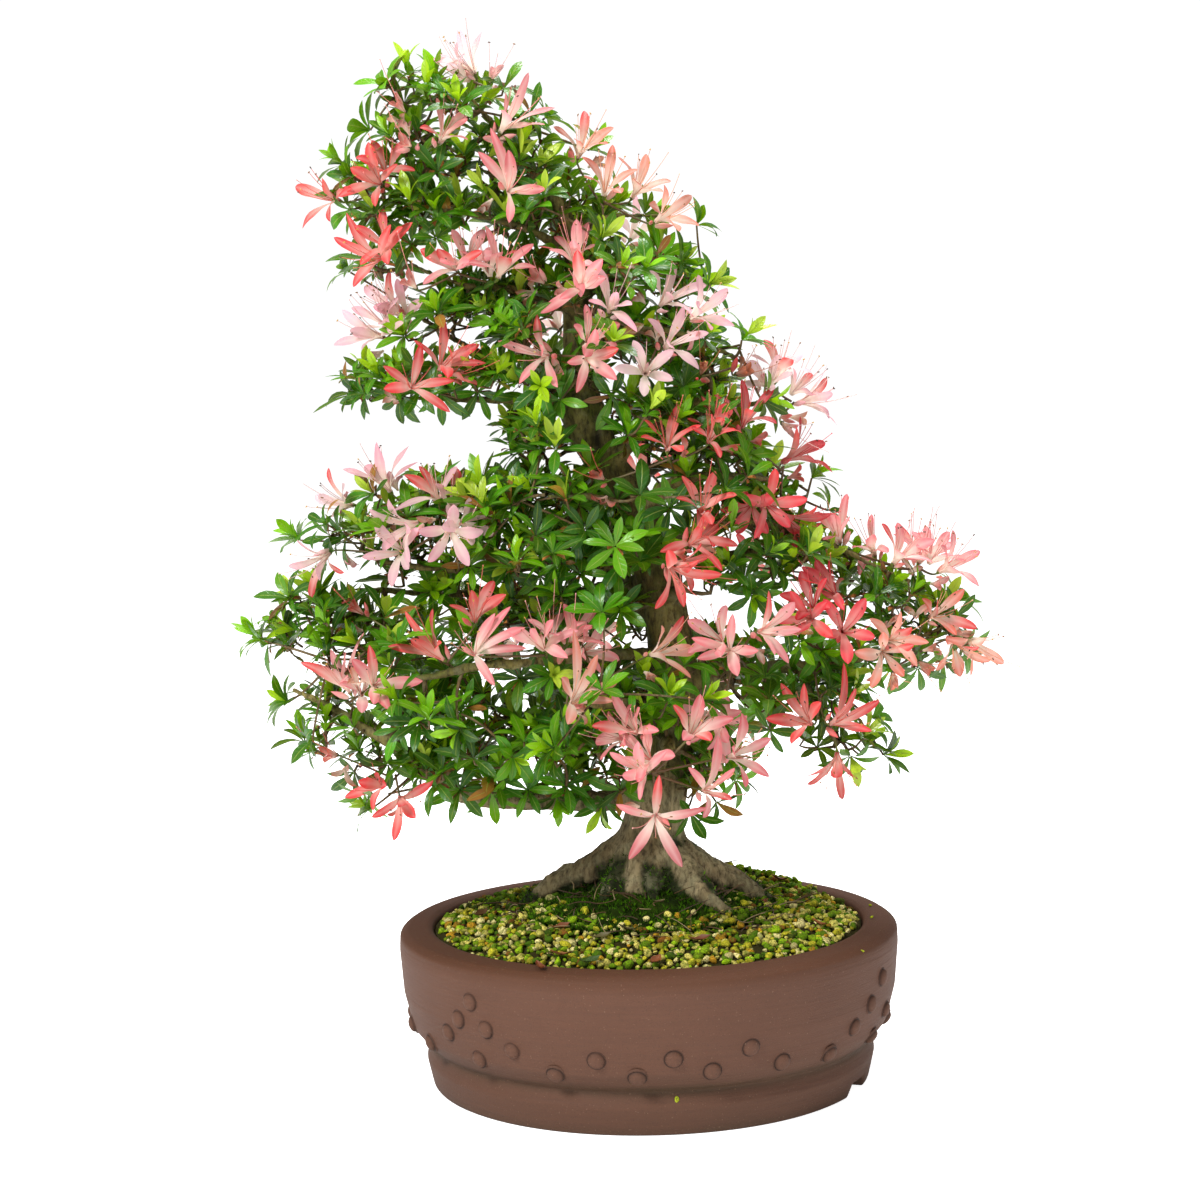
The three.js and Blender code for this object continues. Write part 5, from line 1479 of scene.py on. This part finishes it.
def add_flower(shape, tip, rng):
    """Five or more strap petals on narrow claws, whose colours differ a little from petal to petal."""
    own, curled = tip["colour"], tip["curled"]
    shades = [linear(*c) for c in PETAL_COLOURS["withered" if curled else own]]
    if curled and own != "withered":
        shades = [blend(s, linear(*PETAL_COLOURS[own][0]), 0.5) for s in shades]
    base = shades[rng.integers(3)]
    for line, side in petal_lines(tip):
        colour = base * 0.65 + shades[rng.integers(3)] * 0.35
        if not curled and rng.random() < SECTOR_CHANCE:
            colour = linear(*PETAL_COLOURS["coral"][0])
        width = (CURLED["half_width"] if curled else PETAL_HALF_WIDTH) * rng.uniform(0.7, 1.08)
        fold = CURLED_FOLD if curled else rng.uniform(*OPEN_FOLD)
        wave = rng.uniform(*PETAL_WAVE)
        add_blade(shape, line, PETAL_SHARES, side, width, PETAL_OUTLINE, colour, fold, rng,
                  CURLED_CURL if curled else OPEN_CURL, wave)


def companion(tip, rng):
    """A second flower from the same bud as another, a little behind it."""
    aside = unit(np.cross(tip["axis"], rng.normal(size=3)))
    if aside @ (tip["centre"] - trunk_level(tip["centre"][2])) > 0:
        aside = -aside
    blades = [dict(length=rng.uniform(24, 31), inner=rng.uniform(1.0, 1.4), outer=rng.uniform(-0.2, 0.7))
              for _ in range(PETALS["count"])]
    return dict(tip, centre=tip["centre"] - tip["axis"] * 4 + aside * rng.uniform(6, 10), place=None,
                blades=blades, axis=unit(tip["axis"] + aside * 0.6), spin=rng.uniform(0, 6))


def add_bud(shape, point, axis, colour, rng):
    """A pointed bud."""
    length = rng.uniform(7, 15)
    points, faces = tube(point + axis * BUD_SHARES[:, None] * length, BUD_GIRTHS * length * BUD_SLIMNESS,
                         BUD_SIDES)
    marks = np.column_stack([np.full(len(points), 0.5), np.repeat(0.35 + 0.6 * BUD_SHARES, BUD_SIDES)])
    shape.add(points, faces, colour * rng.uniform(0.85, 1.1), marks)


def add_withered(shape, tip, rng):
    """The brown curled remains of an older flower beside a fresh one."""
    aside = unit(np.cross(tip["axis"], rng.normal(size=3)))
    centre = tip["centre"] - tip["axis"] * 6 + aside * rng.uniform(7, 12)
    axis = unit(tip["axis"] + aside * 0.9 + rng.normal(size=3) * 0.3)
    brown = pick(PETAL_COLOURS["withered"], rng) * rng.uniform(0.6, 1.2)
    if rng.random() < 0.5:
        brown = blend(brown, linear(*PETAL_COLOURS[tip["colour"]][1]), 0.5)
    turn = rng.uniform(0, 6)
    for i in range(WITHERED_PETALS):
        line, side = arc_line(centre, axis, turn, i * SCALE_TURN, 0.6, rng.uniform(10, 17), 1.3,
                              rng.uniform(-0.6, 2.2), LEAF_SHARES)
        add_blade(shape, line, LEAF_SHARES, side, 2.6, PETAL_OUTLINE, brown, 0.8, rng, 0.3, 0.3, SLIM_COLUMNS)


def add_stamens(filaments, anthers, tip, rng):
    """Long filaments that leave the throat and turn upward, each with its anther, and a longer pistil."""
    count = CURLED_STAMENS if tip["curled"] else STAMENS
    pink = linear(*FILAMENT_COLOURS[tip["colour"]])
    x, y = hub_frame(tip["axis"], tip["spin"])
    rock, rock_faces = BALL
    for i in range(count):
        angle = i * FULL_TURN / count + rng.uniform(-0.4, 0.4)
        out = x * math.cos(angle) + y * math.sin(angle)
        length = rng.uniform(28, 38) if i else rng.uniform(40, 48)
        start = tip["centre"] + out * 0.6
        middle = start + tip["axis"] * length * 0.5 + out * length * 0.14
        end = middle + unit(tip["axis"] * 0.7 + out * 0.3 + np.array([0, 0, 0.35])) * length * 0.5
        points, faces = tube(bezier(start, middle, end, FILAMENT_POINTS),
                             np.linspace(0.38, 0.24, FILAMENT_POINTS), FILAMENT_SIDES)
        filaments.add(points, faces, pink * rng.uniform(0.85, 1.15))
        size = ANTHER_SIZE if i else STIGMA_SIZE
        colour = pick(ANTHER_COLOURS, rng) if i else pink
        anthers.add(rock * size @ turned(rng).T + end, rock_faces, colour)


def add_calyx(stalks, tip):
    """The green cup behind a flower and the stalk that carries it."""
    back = tip["centre"] - tip["axis"] * CALYX_BEHIND
    cup = np.linspace(0, 1, 4)
    points, faces = tube(back + tip["axis"] * cup[:, None] * CALYX_LENGTH, 0.8 + 1.1 * cup, CALYX_SIDES)
    stalks.add(points, faces, tone("calyx"))
    line = bezier(back, back - tip["axis"] * 5, tip["foot"], STALK_POINTS)
    points, faces = tube(line, np.linspace(0.7, 1.0, STALK_POINTS), STALK_SIDES)
    young = np.repeat(np.linspace(1, -0.6, STALK_POINTS).clip(0, 1), STALK_SIDES)[:, None]
    stalks.add(points, faces, tone("stalk_young") * young + tone("stalk_old") * (1 - young))


# ---- Crown -------------------------------------------------------------------------------------

CROWN_SEED = 2024
# Pads of foliage: column, row, half width, half height, depth and half depth.
PADS = [
    (412, 94, 28, 20, -4, 22), (452, 100, 40, 24, -8, 25), (524, 130, 28, 14, -5, 22),
    (406, 138, 22, 20, 0, 28), (440, 160, 60, 32, -6, 35), (515, 164, 50, 28, 0, 38),
    (562, 176, 18, 14, 5, 24), (428, 226, 26, 20, -14, 20), (392, 206, 40, 28, -8, 35),
    (384, 260, 26, 22, -10, 30), (430, 218, 40, 24, -6, 40), (508, 212, 48, 34, 0, 45),
    (560, 220, 48, 32, 0, 50), (618, 222, 38, 24, 0, 45), (395, 390, 50, 10, -30, 20),
    (560, 275, 55, 30, -5, 60), (632, 274, 54, 32, 0, 60), (672, 292, 16, 18, 0, 40),
    (480, 285, 40, 20, -12, 40), (432, 318, 42, 22, -12, 40), (500, 312, 50, 25, -10, 50),
    (378, 390, 30, 22, -15, 26), (412, 382, 44, 16, -25, 30), (460, 384, 46, 18, -30, 35),
    (600, 330, 60, 30, -10, 70), (662, 342, 48, 30, -8, 60), (704, 380, 30, 26, -10, 45),
    (540, 330, 50, 30, -20, 60), (560, 385, 40, 20, -35, 40), (470, 562, 72, 8, -30, 20),
    (545, 440, 38, 34, -15, 70), (580, 490, 60, 30, -20, 75), (640, 430, 50, 35, -20, 80),
    (692, 432, 50, 35, -15, 70), (732, 452, 22, 26, -10, 55), (722, 484, 54, 30, -5, 70),
    (762, 500, 22, 22, -5, 45), (500, 508, 46, 38, -15, 70), (440, 512, 44, 32, -12, 50),
    (380, 526, 56, 26, -10, 45), (420, 556, 56, 16, -10, 45), (540, 550, 60, 40, -20, 80),
    (620, 550, 50, 30, -10, 90), (736, 536, 56, 30, -5, 70), (808, 545, 46, 28, 0, 60),
    (848, 584, 42, 28, 0, 55), (902, 606, 40, 28, 0, 45), (936, 622, 24, 18, -4, 30),
    (925, 655, 44, 14, -12, 24), (742, 577, 54, 16, -20, 36), (316, 610, 24, 20, 0, 35),
    (290, 642, 26, 12, 0, 30), (334, 628, 42, 30, -5, 50), (324, 704, 22, 18, -20, 40),
    (340, 742, 38, 28, -30, 45), (392, 640, 50, 28, -10, 70), (440, 700, 55, 34, -20, 85),
    (500, 742, 58, 34, -20, 90), (450, 765, 46, 22, -20, 70), (570, 740, 58, 34, -15, 105),
    (580, 640, 50, 34, -10, 100), (510, 640, 50, 30, -10, 90), (640, 700, 54, 40, -10, 110),
    (600, 780, 48, 16, -20, 70), (362, 766, 24, 12, -40, 22), (266, 630, 20, 12, -6, 16),
    (700, 665, 36, 26, 0, 90), (765, 690, 44, 28, -10, 60), (834, 712, 24, 22, -25, 40),
    (818, 690, 30, 24, -20, 40), (716, 762, 22, 30, -20, 60), (686, 794, 24, 16, -30, 40),
    (876, 644, 36, 22, -10, 40), (820, 742, 28, 14, -44, 20), (480, 782, 40, 9, -36, 26),
    (555, 790, 42, 9, -30, 26), (430, 768, 40, 14, -50, 30), (400, 585, 60, 10, -10, 30),
    (625, 608, 22, 14, -40, 20), (800, 622, 22, 14, -20, 20), (862, 748, 16, 18, -40, 16),
    (500, 592, 46, 8, -20, 24), (600, 625, 60, 26, 122, 26), (700, 672, 56, 26, 112, 28),
    (520, 645, 60, 26, 92, 34), (780, 655, 50, 24, 88, 28), (450, 612, 60, 20, 80, 30),
    (640, 712, 60, 24, 108, 30), (560, 695, 50, 24, 104, 28), (620, 505, 60, 28, 96, 30),
    (700, 452, 46, 26, 80, 28), (740, 560, 50, 22, 88, 28), (540, 372, 46, 26, 74, 26),
    (565, 312, 50, 26, 66, 26), (620, 268, 36, 22, 58, 22), (500, 215, 40, 20, 42, 20),
    (640, 560, 50, 24, 100, 30), (430, 690, 50, 24, 66, 28),
]
# Where the background shows through the crown: column, row, half width and half height.
GAPS = [
    (425, 424, 80, 12), (492, 434, 18, 26), (384, 594, 40, 11), (718, 614, 24, 20), (725, 700, 22, 16),
    (348, 330, 14, 55), (470, 230, 15, 13),
]
# Where the trunk shows between the leaves, in the same terms.
WINDOWS = [(588, 425, 36, 44), (652, 598, 20, 42), (640, 800, 60, 20)]
# Shoots that give the crown its outline: column, row, depth, how far each faces right and up, leaves.
SHOOTS = [
    (386, 84, -8, -6, 6, 6), (504, 88, -8, 3, 7, 5), (530, 114, -8, 6, 4, 5), (352, 176, -14, -8, 2, 6),
    (350, 210, -18, -8, -2, 5), (405, 336, -30, -3, 5, 7), (366, 394, -20, -7, -3, 6),
    (400, 396, -28, -3, -5, 7), (440, 394, -32, 1, -5, 6), (478, 392, -30, 3, -3, 6),
    (420, 390, -34, -2, 3, 7), (374, 494, -20, -6, 5, 6), (330, 536, -10, -8, -1, 5),
    (290, 598, -4, -5, 6, 6), (268, 644, -8, -8, -3, 5), (412, 244, -30, 0, 3, 7), (436, 238, -30, 3, 4, 7),
    (392, 668, -60, -2, 4, 7), (520, 678, -70, -2, 3, 8), (552, 676, -72, 3, 3, 8),
    (354, 772, -40, -3, -6, 6), (388, 764, -50, 2, -5, 6), (364, 792, -45, -3, -8, 5),
    (492, 792, -44, 0, -8, 5), (556, 796, -36, 2, -8, 5), (604, 802, -30, -3, -6, 6),
    (620, 790, -40, -4, 2, 6), (716, 802, -44, 5, -7, 6), (736, 780, -50, 7, -2, 6),
    (770, 730, -50, -3, 0, 6), (774, 702, -40, -3, 4, 6), (744, 580, -44, 0, 5, 8),
    (752, 594, -44, 2, -3, 7), (730, 568, -40, -3, 5, 7), (868, 662, -24, 0, -6, 6),
    (892, 668, -20, 2, -7, 6), (918, 668, -20, 3, -6, 6), (944, 660, -14, 5, -5, 6),
    (962, 648, -10, 7, -3, 6), (954, 618, -6, 7, 3, 5), (850, 756, -46, 3, -7, 6),
    (690, 812, -60, 2, -6, 6), (786, 622, -40, 0, 3, 7), (620, 610, -50, 0, 3, 8),
    (800, 640, -40, 0, -4, 6), (822, 650, -30, 0, -4, 6), (420, 722, -80, -2, 3, 8),
    (400, 728, -70, -3, 2, 7), (612, 396, -40, 0, -3, 6), (670, 508, -60, 0, 3, 7),
    (580, 574, -60, 0, 4, 7), (528, 790, -46, -2, 3, 7), (460, 790, -50, -2, 2, 7),
    (436, 782, -56, -4, 4, 7), (498, 786, -50, 3, 4, 6), (566, 786, -44, 2, 5, 7), (586, 612, -60, 0, 5, 7),
    (432, 592, -12, 2, 4, 7), (470, 566, -30, 2, 4, 8), (508, 568, -34, -2, 2, 8),
    (540, 576, -30, 2, -3, 7), (490, 596, -8, 0, -3, 6),
]
WHORL_SPACING, WHORL_AREA, PAD_FILL, PAD_SHRINK, PAD_TRIES = 14.5, 200, 0.93, 0.76, 14
# How far whorls keep from a flower, from its place in the picture and from the sides of the box.
BLOOM_ROOM, COVER_REACH, COVER_DEPTH, BOX_ROOM = 17, 28, 6, 22
WINDOW_DEPTH, FORWARD_DEPTH = 15, 50
WHORL_LENGTH, WHORL_LEAVES = 28, (5, 9)
# Twigs leave the wood above this height, branch from each other and thicken with what they carry.
TWIGS_FROM, WOOD_PREFERENCE, TWIG_RADIUS, TWIG_POWER, TWIG_SIDES = 470, 3.0, 0.85, 0.38, 5
STEM_POINTS, STEM_SIDES = 6, 6
COMPANION_CHANCE, CORAL_BUD_CHANCE, WITHERED_CHANCE = 0.34, 0.4, 0.65
SPRAY_YOUNG_CHANCE, UPRIGHT_YOUNG_CHANCE, YOUNG_CHANCE, SCALE_CHANCE = 0.7, 0.55, 0.3, 0.6
# The rows and columns that part the crown into regions.
TOP_ROW, UPPER_ROW, MIDDLE_ROW, MIDDLE_COLUMN, LOW_COLUMNS = 250, 420, 590, 600, (480, 660)


def nearest(points, point):
    """How far the nearest of some points is."""
    return np.linalg.norm(np.array(points) - point, axis=1).min()


def seen_in(point, patches):
    """Whether a point is seen inside any of some ellipses."""
    column, row = seen_at(point)
    return any(((column - c) / w) ** 2 + ((row - r) / h) ** 2 < 1 for c, r, w, h in patches)


def hides_bloom(point, marks, blooms):
    """Whether a whorl here would stand before a flower."""
    near = np.linalg.norm(marks - seen_at(point), axis=1) < COVER_REACH
    return np.any(near & (blooms[:, 1] > point[1] - COVER_DEPTH))


def extra_tips(stems, rng):
    """Whorls of leaves that fill the pads between the ones of the construction."""
    centres = [tip["centre"] for tips in stems.values() for tip in tips]
    blooms = np.array([tip["centre"] for name, tips in stems.items() if name.startswith("bloom")
                       for tip in tips])
    bloom_marks = np.array([seen_at(bloom) for bloom in blooms])
    lo, hi = (np.array(corner) / MM - POT_PLACE / MM for corner in CAD_BOX)
    found = []
    for column, row, depth, right, rise, count in SHOOTS:
        blades = [dict(length=rng.uniform(19, 29), inner=rng.uniform(0.3, 1.0), outer=rng.uniform(-0.6, 0.4))
                  for _ in range(count)]
        found.append(dict(form=dict(LEAVES, count=count), spin=rng.uniform(0, 6), blades=blades,
                          centre=at(column, row, depth), axis=facing(right, rise, depth), painted_shade=1.0))
        centres.append(found[-1]["centre"])
    for column, row, wide, tall, depth, deep in PADS:
        middle = at(column, row, depth)
        size = np.array([wide * PAD_SHRINK, deep, tall * PAD_SHRINK])
        count = round(PAD_FILL * math.pi * size[2] * (size[0] + size[1]) / 2 / WHORL_AREA)
        tries = made = 0
        while made < count and tries < count * PAD_TRIES:
            tries += 1
            spot = unit(rng.normal(size=3)) * rng.random() ** 0.25
            spot[2] *= 1 if spot[2] > 0 else 0.55
            point = middle + spot * size
            if nearest(centres, point) < WHORL_SPACING or seen_in(point, GAPS):
                continue
            if point[1] < WINDOW_DEPTH and seen_in(point, WINDOWS):
                continue
            if nearest(blooms, point) < BLOOM_ROOM or hides_bloom(point, bloom_marks, blooms):
                continue
            if np.any(point < lo + BOX_ROOM) or np.any(point > hi - BOX_ROOM):
                continue
            away = unit((point - trunk_level(point[2])) * [1, 1, 0])
            axis = unit(away * 0.4 + [0, 0, 0.85] + spot * 0.35 + rng.normal(size=3) * 0.32)
            form = dict(LEAVES, count=int(rng.integers(*WHORL_LEAVES)),
                        length=WHORL_LENGTH * rng.uniform(0.66, 1.12))
            spin = rng.uniform(0, FULL_TURN)
            blades = [dict(length=form["length"] * rng.uniform(0.7, 1.16), inner=rng.uniform(0.25, 1.15),
                           outer=rng.uniform(-0.6, 0.5)) for _ in range(form["count"])]
            # Whorls on a pad's far side, or in the pads at the back, are darkened with painted shade.
            painted_shade = PAINTED_SHADE_BEHIND if spot[1] > 0.2 or depth > FORWARD_DEPTH else 1.0
            found.append(dict(form=form, spin=spin, blades=blades, centre=point, axis=axis, painted_shade=painted_shade))
            centres.append(point)
            made += 1
    return found


def add_twigs(shape, tips, rng):
    """Twigs from the wood to each tip, nearest first, so that later ones branch from earlier ones."""
    nodes = [line[:, :3][len(line) // 5:] for line in BRANCH_LINES]
    nodes = np.concatenate(nodes + [TRUNK_LINE[TRUNK_LINE[:, 2] > TWIGS_FROM][:, :3]])
    wood = len(nodes)
    parents, points, ends = [-1] * wood, list(nodes), []
    for tip in sorted(tips, key=lambda tip: nearest(nodes, tip["centre"])):
        target = tip["centre"] - tip["axis"] * 7
        array = np.array(points)
        distance = np.linalg.norm(target - array, axis=1)
        start = int(np.argmin(distance + np.where(np.arange(len(array)) < wood, 0, WOOD_PREFERENCE)))
        bent = (array[start] + target) / 2 + rng.normal(size=3) * 2 - [0, 0, 2]
        previous = start
        for step in [*bezier(array[start], bent, target, 4)[1:], tip["centre"] - tip["axis"] * 0.5]:
            points.append(step)
            parents.append(previous)
            previous = len(points) - 1
        ends.append(previous)
    load = np.zeros(len(points))
    for k in ends:
        while k >= wood:
            load[k] += 1
            k = parents[k]
    radius = TWIG_RADIUS * np.maximum(load, 1) ** TWIG_POWER
    done = set()
    for end in ends:
        chain = [end]
        while chain[-1] >= wood and chain[-1] not in done:
            done.add(chain[-1])
            chain.append(parents[chain[-1]])
        if len(chain) < 2:
            continue
        line = np.array([points[k] for k in chain[::-1]])
        girth = np.array([radius[k] for k in chain[::-1]])
        girth[0] = girth[1]
        brightness = rng.uniform(0.8, 1.1)
        shape.add(*tube(line, girth, TWIG_SIDES), tone("twig") * brightness)


def region(point):
    column, row = seen_at(point)
    if row < TOP_ROW:
        return "top"
    if row < UPPER_ROW:
        return "upper"
    if row < MIDDLE_ROW:
        return "middle_left" if column < MIDDLE_COLUMN else "middle_right"
    left, right = LOW_COLUMNS
    return "low_left" if column < left else "low_centre" if column < right else "low_right"


def add_truss_tip(shape, filaments, anthers, stalks, tip, rng):
    """One flower of a truss on its stalk, and what grows beside it: another flower, buds, a withered one."""
    add_flower(shape, tip, rng)
    add_stamens(filaments, anthers, tip, rng)
    add_calyx(stalks, tip)
    if not tip["curled"] and rng.random() < COMPANION_CHANCE:
        second = companion(tip, rng)
        add_flower(shape, second, rng)
        add_stamens(filaments, anthers, second, rng)
    for _ in range(int(rng.integers(0, 4))):
        aside = unit(np.cross(tip["axis"], rng.normal(size=3)))
        bud_axis = unit(tip["axis"] + aside * 0.7)
        shade = linear(*PETAL_COLOURS["coral" if rng.random() < CORAL_BUD_CHANCE else tip["colour"]][0])
        add_bud(shape, tip["centre"] - tip["axis"] * 3 + aside * 3, bud_axis, shade, rng)
    if rng.random() < WITHERED_CHANCE:
        add_withered(shape, tip, rng)


def add_spray_tip(shape, twigs, tip, rng):
    """One whorl of a spray, and its stem."""
    add_whorl(shape, tip, rng, rng.random() < SPRAY_YOUNG_CHANCE, 3)
    bent = (tip["foot"] + tip["centre"]) / 2 + rng.normal(size=3) * 4
    line = bezier(tip["foot"], bent, tip["centre"] - tip["axis"] * 0.4, STEM_POINTS)
    radii = np.linspace(1.5 if tip["leads"] else 1.0, 0.8, STEM_POINTS)
    twigs.add(*tube(line, radii, STEM_SIDES), tone("twig"))


def build_crown():
    """Trusses and sprays in place of the construction's, and the foliage between them."""
    rng = np.random.default_rng(CROWN_SEED)
    stems = tips_of()
    filaments, anthers, stalks, twigs = Shape(), Shape(), Shape(), Shape()
    for name, tips in stems.items():
        shape = Shape()
        if name.startswith("bloom_"):
            for tip in tips:
                add_truss_tip(shape, filaments, anthers, stalks, tip, rng)
            colour = tips[0]["colour"]
            shape.make(name.replace("bloom_", "petals_"), "petal_" + colour, [PETAL[colour]], [name])
        else:
            for tip in tips:
                add_spray_tip(shape, twigs, tip, rng)
            shape.make(name.replace("spray_", "leaves_"), "leaf", [LEAF], [name])
    extra = extra_tips(stems, rng)
    groups = {}
    for tip in extra:
        shape = groups.setdefault(region(tip["centre"]), Shape())
        chance = UPRIGHT_YOUNG_CHANCE if tip["axis"][2] > 0.7 else YOUNG_CHANCE
        add_whorl(shape, tip, rng, rng.random() < chance, 0, SLIM_COLUMNS)
        if rng.random() < SCALE_CHANCE:
            add_scales(twigs, tip, rng)
    for name, shape in groups.items():
        shape.make("foliage_" + name, "leaf", [LEAF])
    add_twigs(twigs, extra, rng)
    twigs.make("twigs", "bark", [BARK])
    filaments.make("filaments", "petal_pink", [THREAD])
    anthers.make("anthers", "petal_withered", [FINE])
    stalks.make("flower_stalks", "leaf", [FINE])


# ---- Studio ------------------------------------------------------------------------------------

# Lights: name, place, what each is aimed at, size and power.
LAMPS = [
    ("key", (-1.4, -1.7, 2.1), (0, 0, 0.4), 0.8, 86), ("fill", (1.9, -1.8, 0.9), (0, 0, 0.35), 1.6, 11),
    ("top", (0.2, 0.5, 2.4), (0, 0, 0.4), 1.0, 62),
]
# How strong the light from the world and the floor is, and how bright each is seen.
WORLD_LIGHT, FLOOR_LIGHT = (0.4, 1.05), (0.22, 0.84)
FLOOR_REACH, SENSOR = 9, 36


def area_light(name, place, aim, size, power):
    light = bpy.data.lights.new(name, "AREA")
    light.size, light.energy = size, power
    lamp = bpy.data.objects.new(name, light)
    lamp.location = place
    lamp.rotation_euler = (Vector(aim) - Vector(place)).to_track_quat("-Z", "Y").to_euler()
    bpy.context.scene.collection.objects.link(lamp)


def seen_as(tree, light, look):
    """One strength for the light that is given off and another for what is seen of it."""
    sight = tree.nodes.new("ShaderNodeLightPath")
    strength = tree.nodes.new("ShaderNodeMapRange")
    strength.inputs["To Min"].default_value, strength.inputs["To Max"].default_value = light, look
    tree.links.new(sight.outputs["Is Camera Ray"], strength.inputs["Value"])
    return strength.outputs[0]


def build_floor():
    floor = Paint("floor", 0.9, 0.1)
    floor.colour(floor.mix(floor.noise(400), tone("floor"), tone("white")))
    floor.shader.inputs["Emission Color"].default_value = (1, 1, 1, 1)
    floor.feed(floor.shader.inputs["Emission Strength"], seen_as(floor.tree, *FLOOR_LIGHT))
    mesh = bpy.data.meshes.new("floor")
    corners = [(x * FLOOR_REACH, y * FLOOR_REACH, 0) for x, y in ((-1, -1), (1, -1), (1, 1), (-1, 1))]
    mesh.from_pydata(corners, [], [(0, 1, 2, 3)])
    mesh.materials.append(floor.material)
    ground = bpy.data.objects.new("floor", mesh)
    bpy.context.scene.collection.objects.link(ground)


def build_camera():
    """The camera of the front elevation."""
    camera = bpy.data.cameras.new("camera")
    camera.lens = FOCAL / FRAME_SIZE * SENSOR
    camera.sensor_width = SENSOR
    camera.shift_x = (FRAME_SIZE / 2 - COLUMN) / FRAME_SIZE
    view = bpy.data.objects.new("camera", camera)
    eye = Vector((POT_AXIS.x, POT_AXIS.y - DISTANCE * MM * math.cos(RISE),
                  AIM_HEIGHT * MM + DISTANCE * MM * math.sin(RISE)))
    aim = Vector((POT_AXIS.x, POT_AXIS.y, AIM_HEIGHT * MM))
    turn = (aim - eye).to_track_quat("-Z", "Y").to_matrix() @ Matrix.Rotation(-TURN, 3, "Z")
    view.location = eye
    view.rotation_euler = turn.to_euler()
    bpy.context.scene.collection.objects.link(view)
    bpy.context.scene.camera = view


def build_studio():
    scene = bpy.context.scene
    scene.view_settings.view_transform = "Standard"
    world = bpy.data.worlds.new("studio")
    scene.world = world
    world.use_nodes = True
    background = next(n for n in world.node_tree.nodes if n.type == "BACKGROUND")
    background.inputs[0].default_value = (1, 1, 1, 1)
    world.node_tree.links.new(seen_as(world.node_tree, *WORLD_LIGHT), background.inputs[1])
    build_floor()
    for lamp in LAMPS:
        area_light(*lamp)
    build_camera()


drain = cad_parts["drain_mesh"]
drain.data.materials.clear()
drain.data.materials.append(plastic_paint())
build_pot()
build_bed()
build_grains()
build_moss()
build_wood()
build_crown()
build_studio()
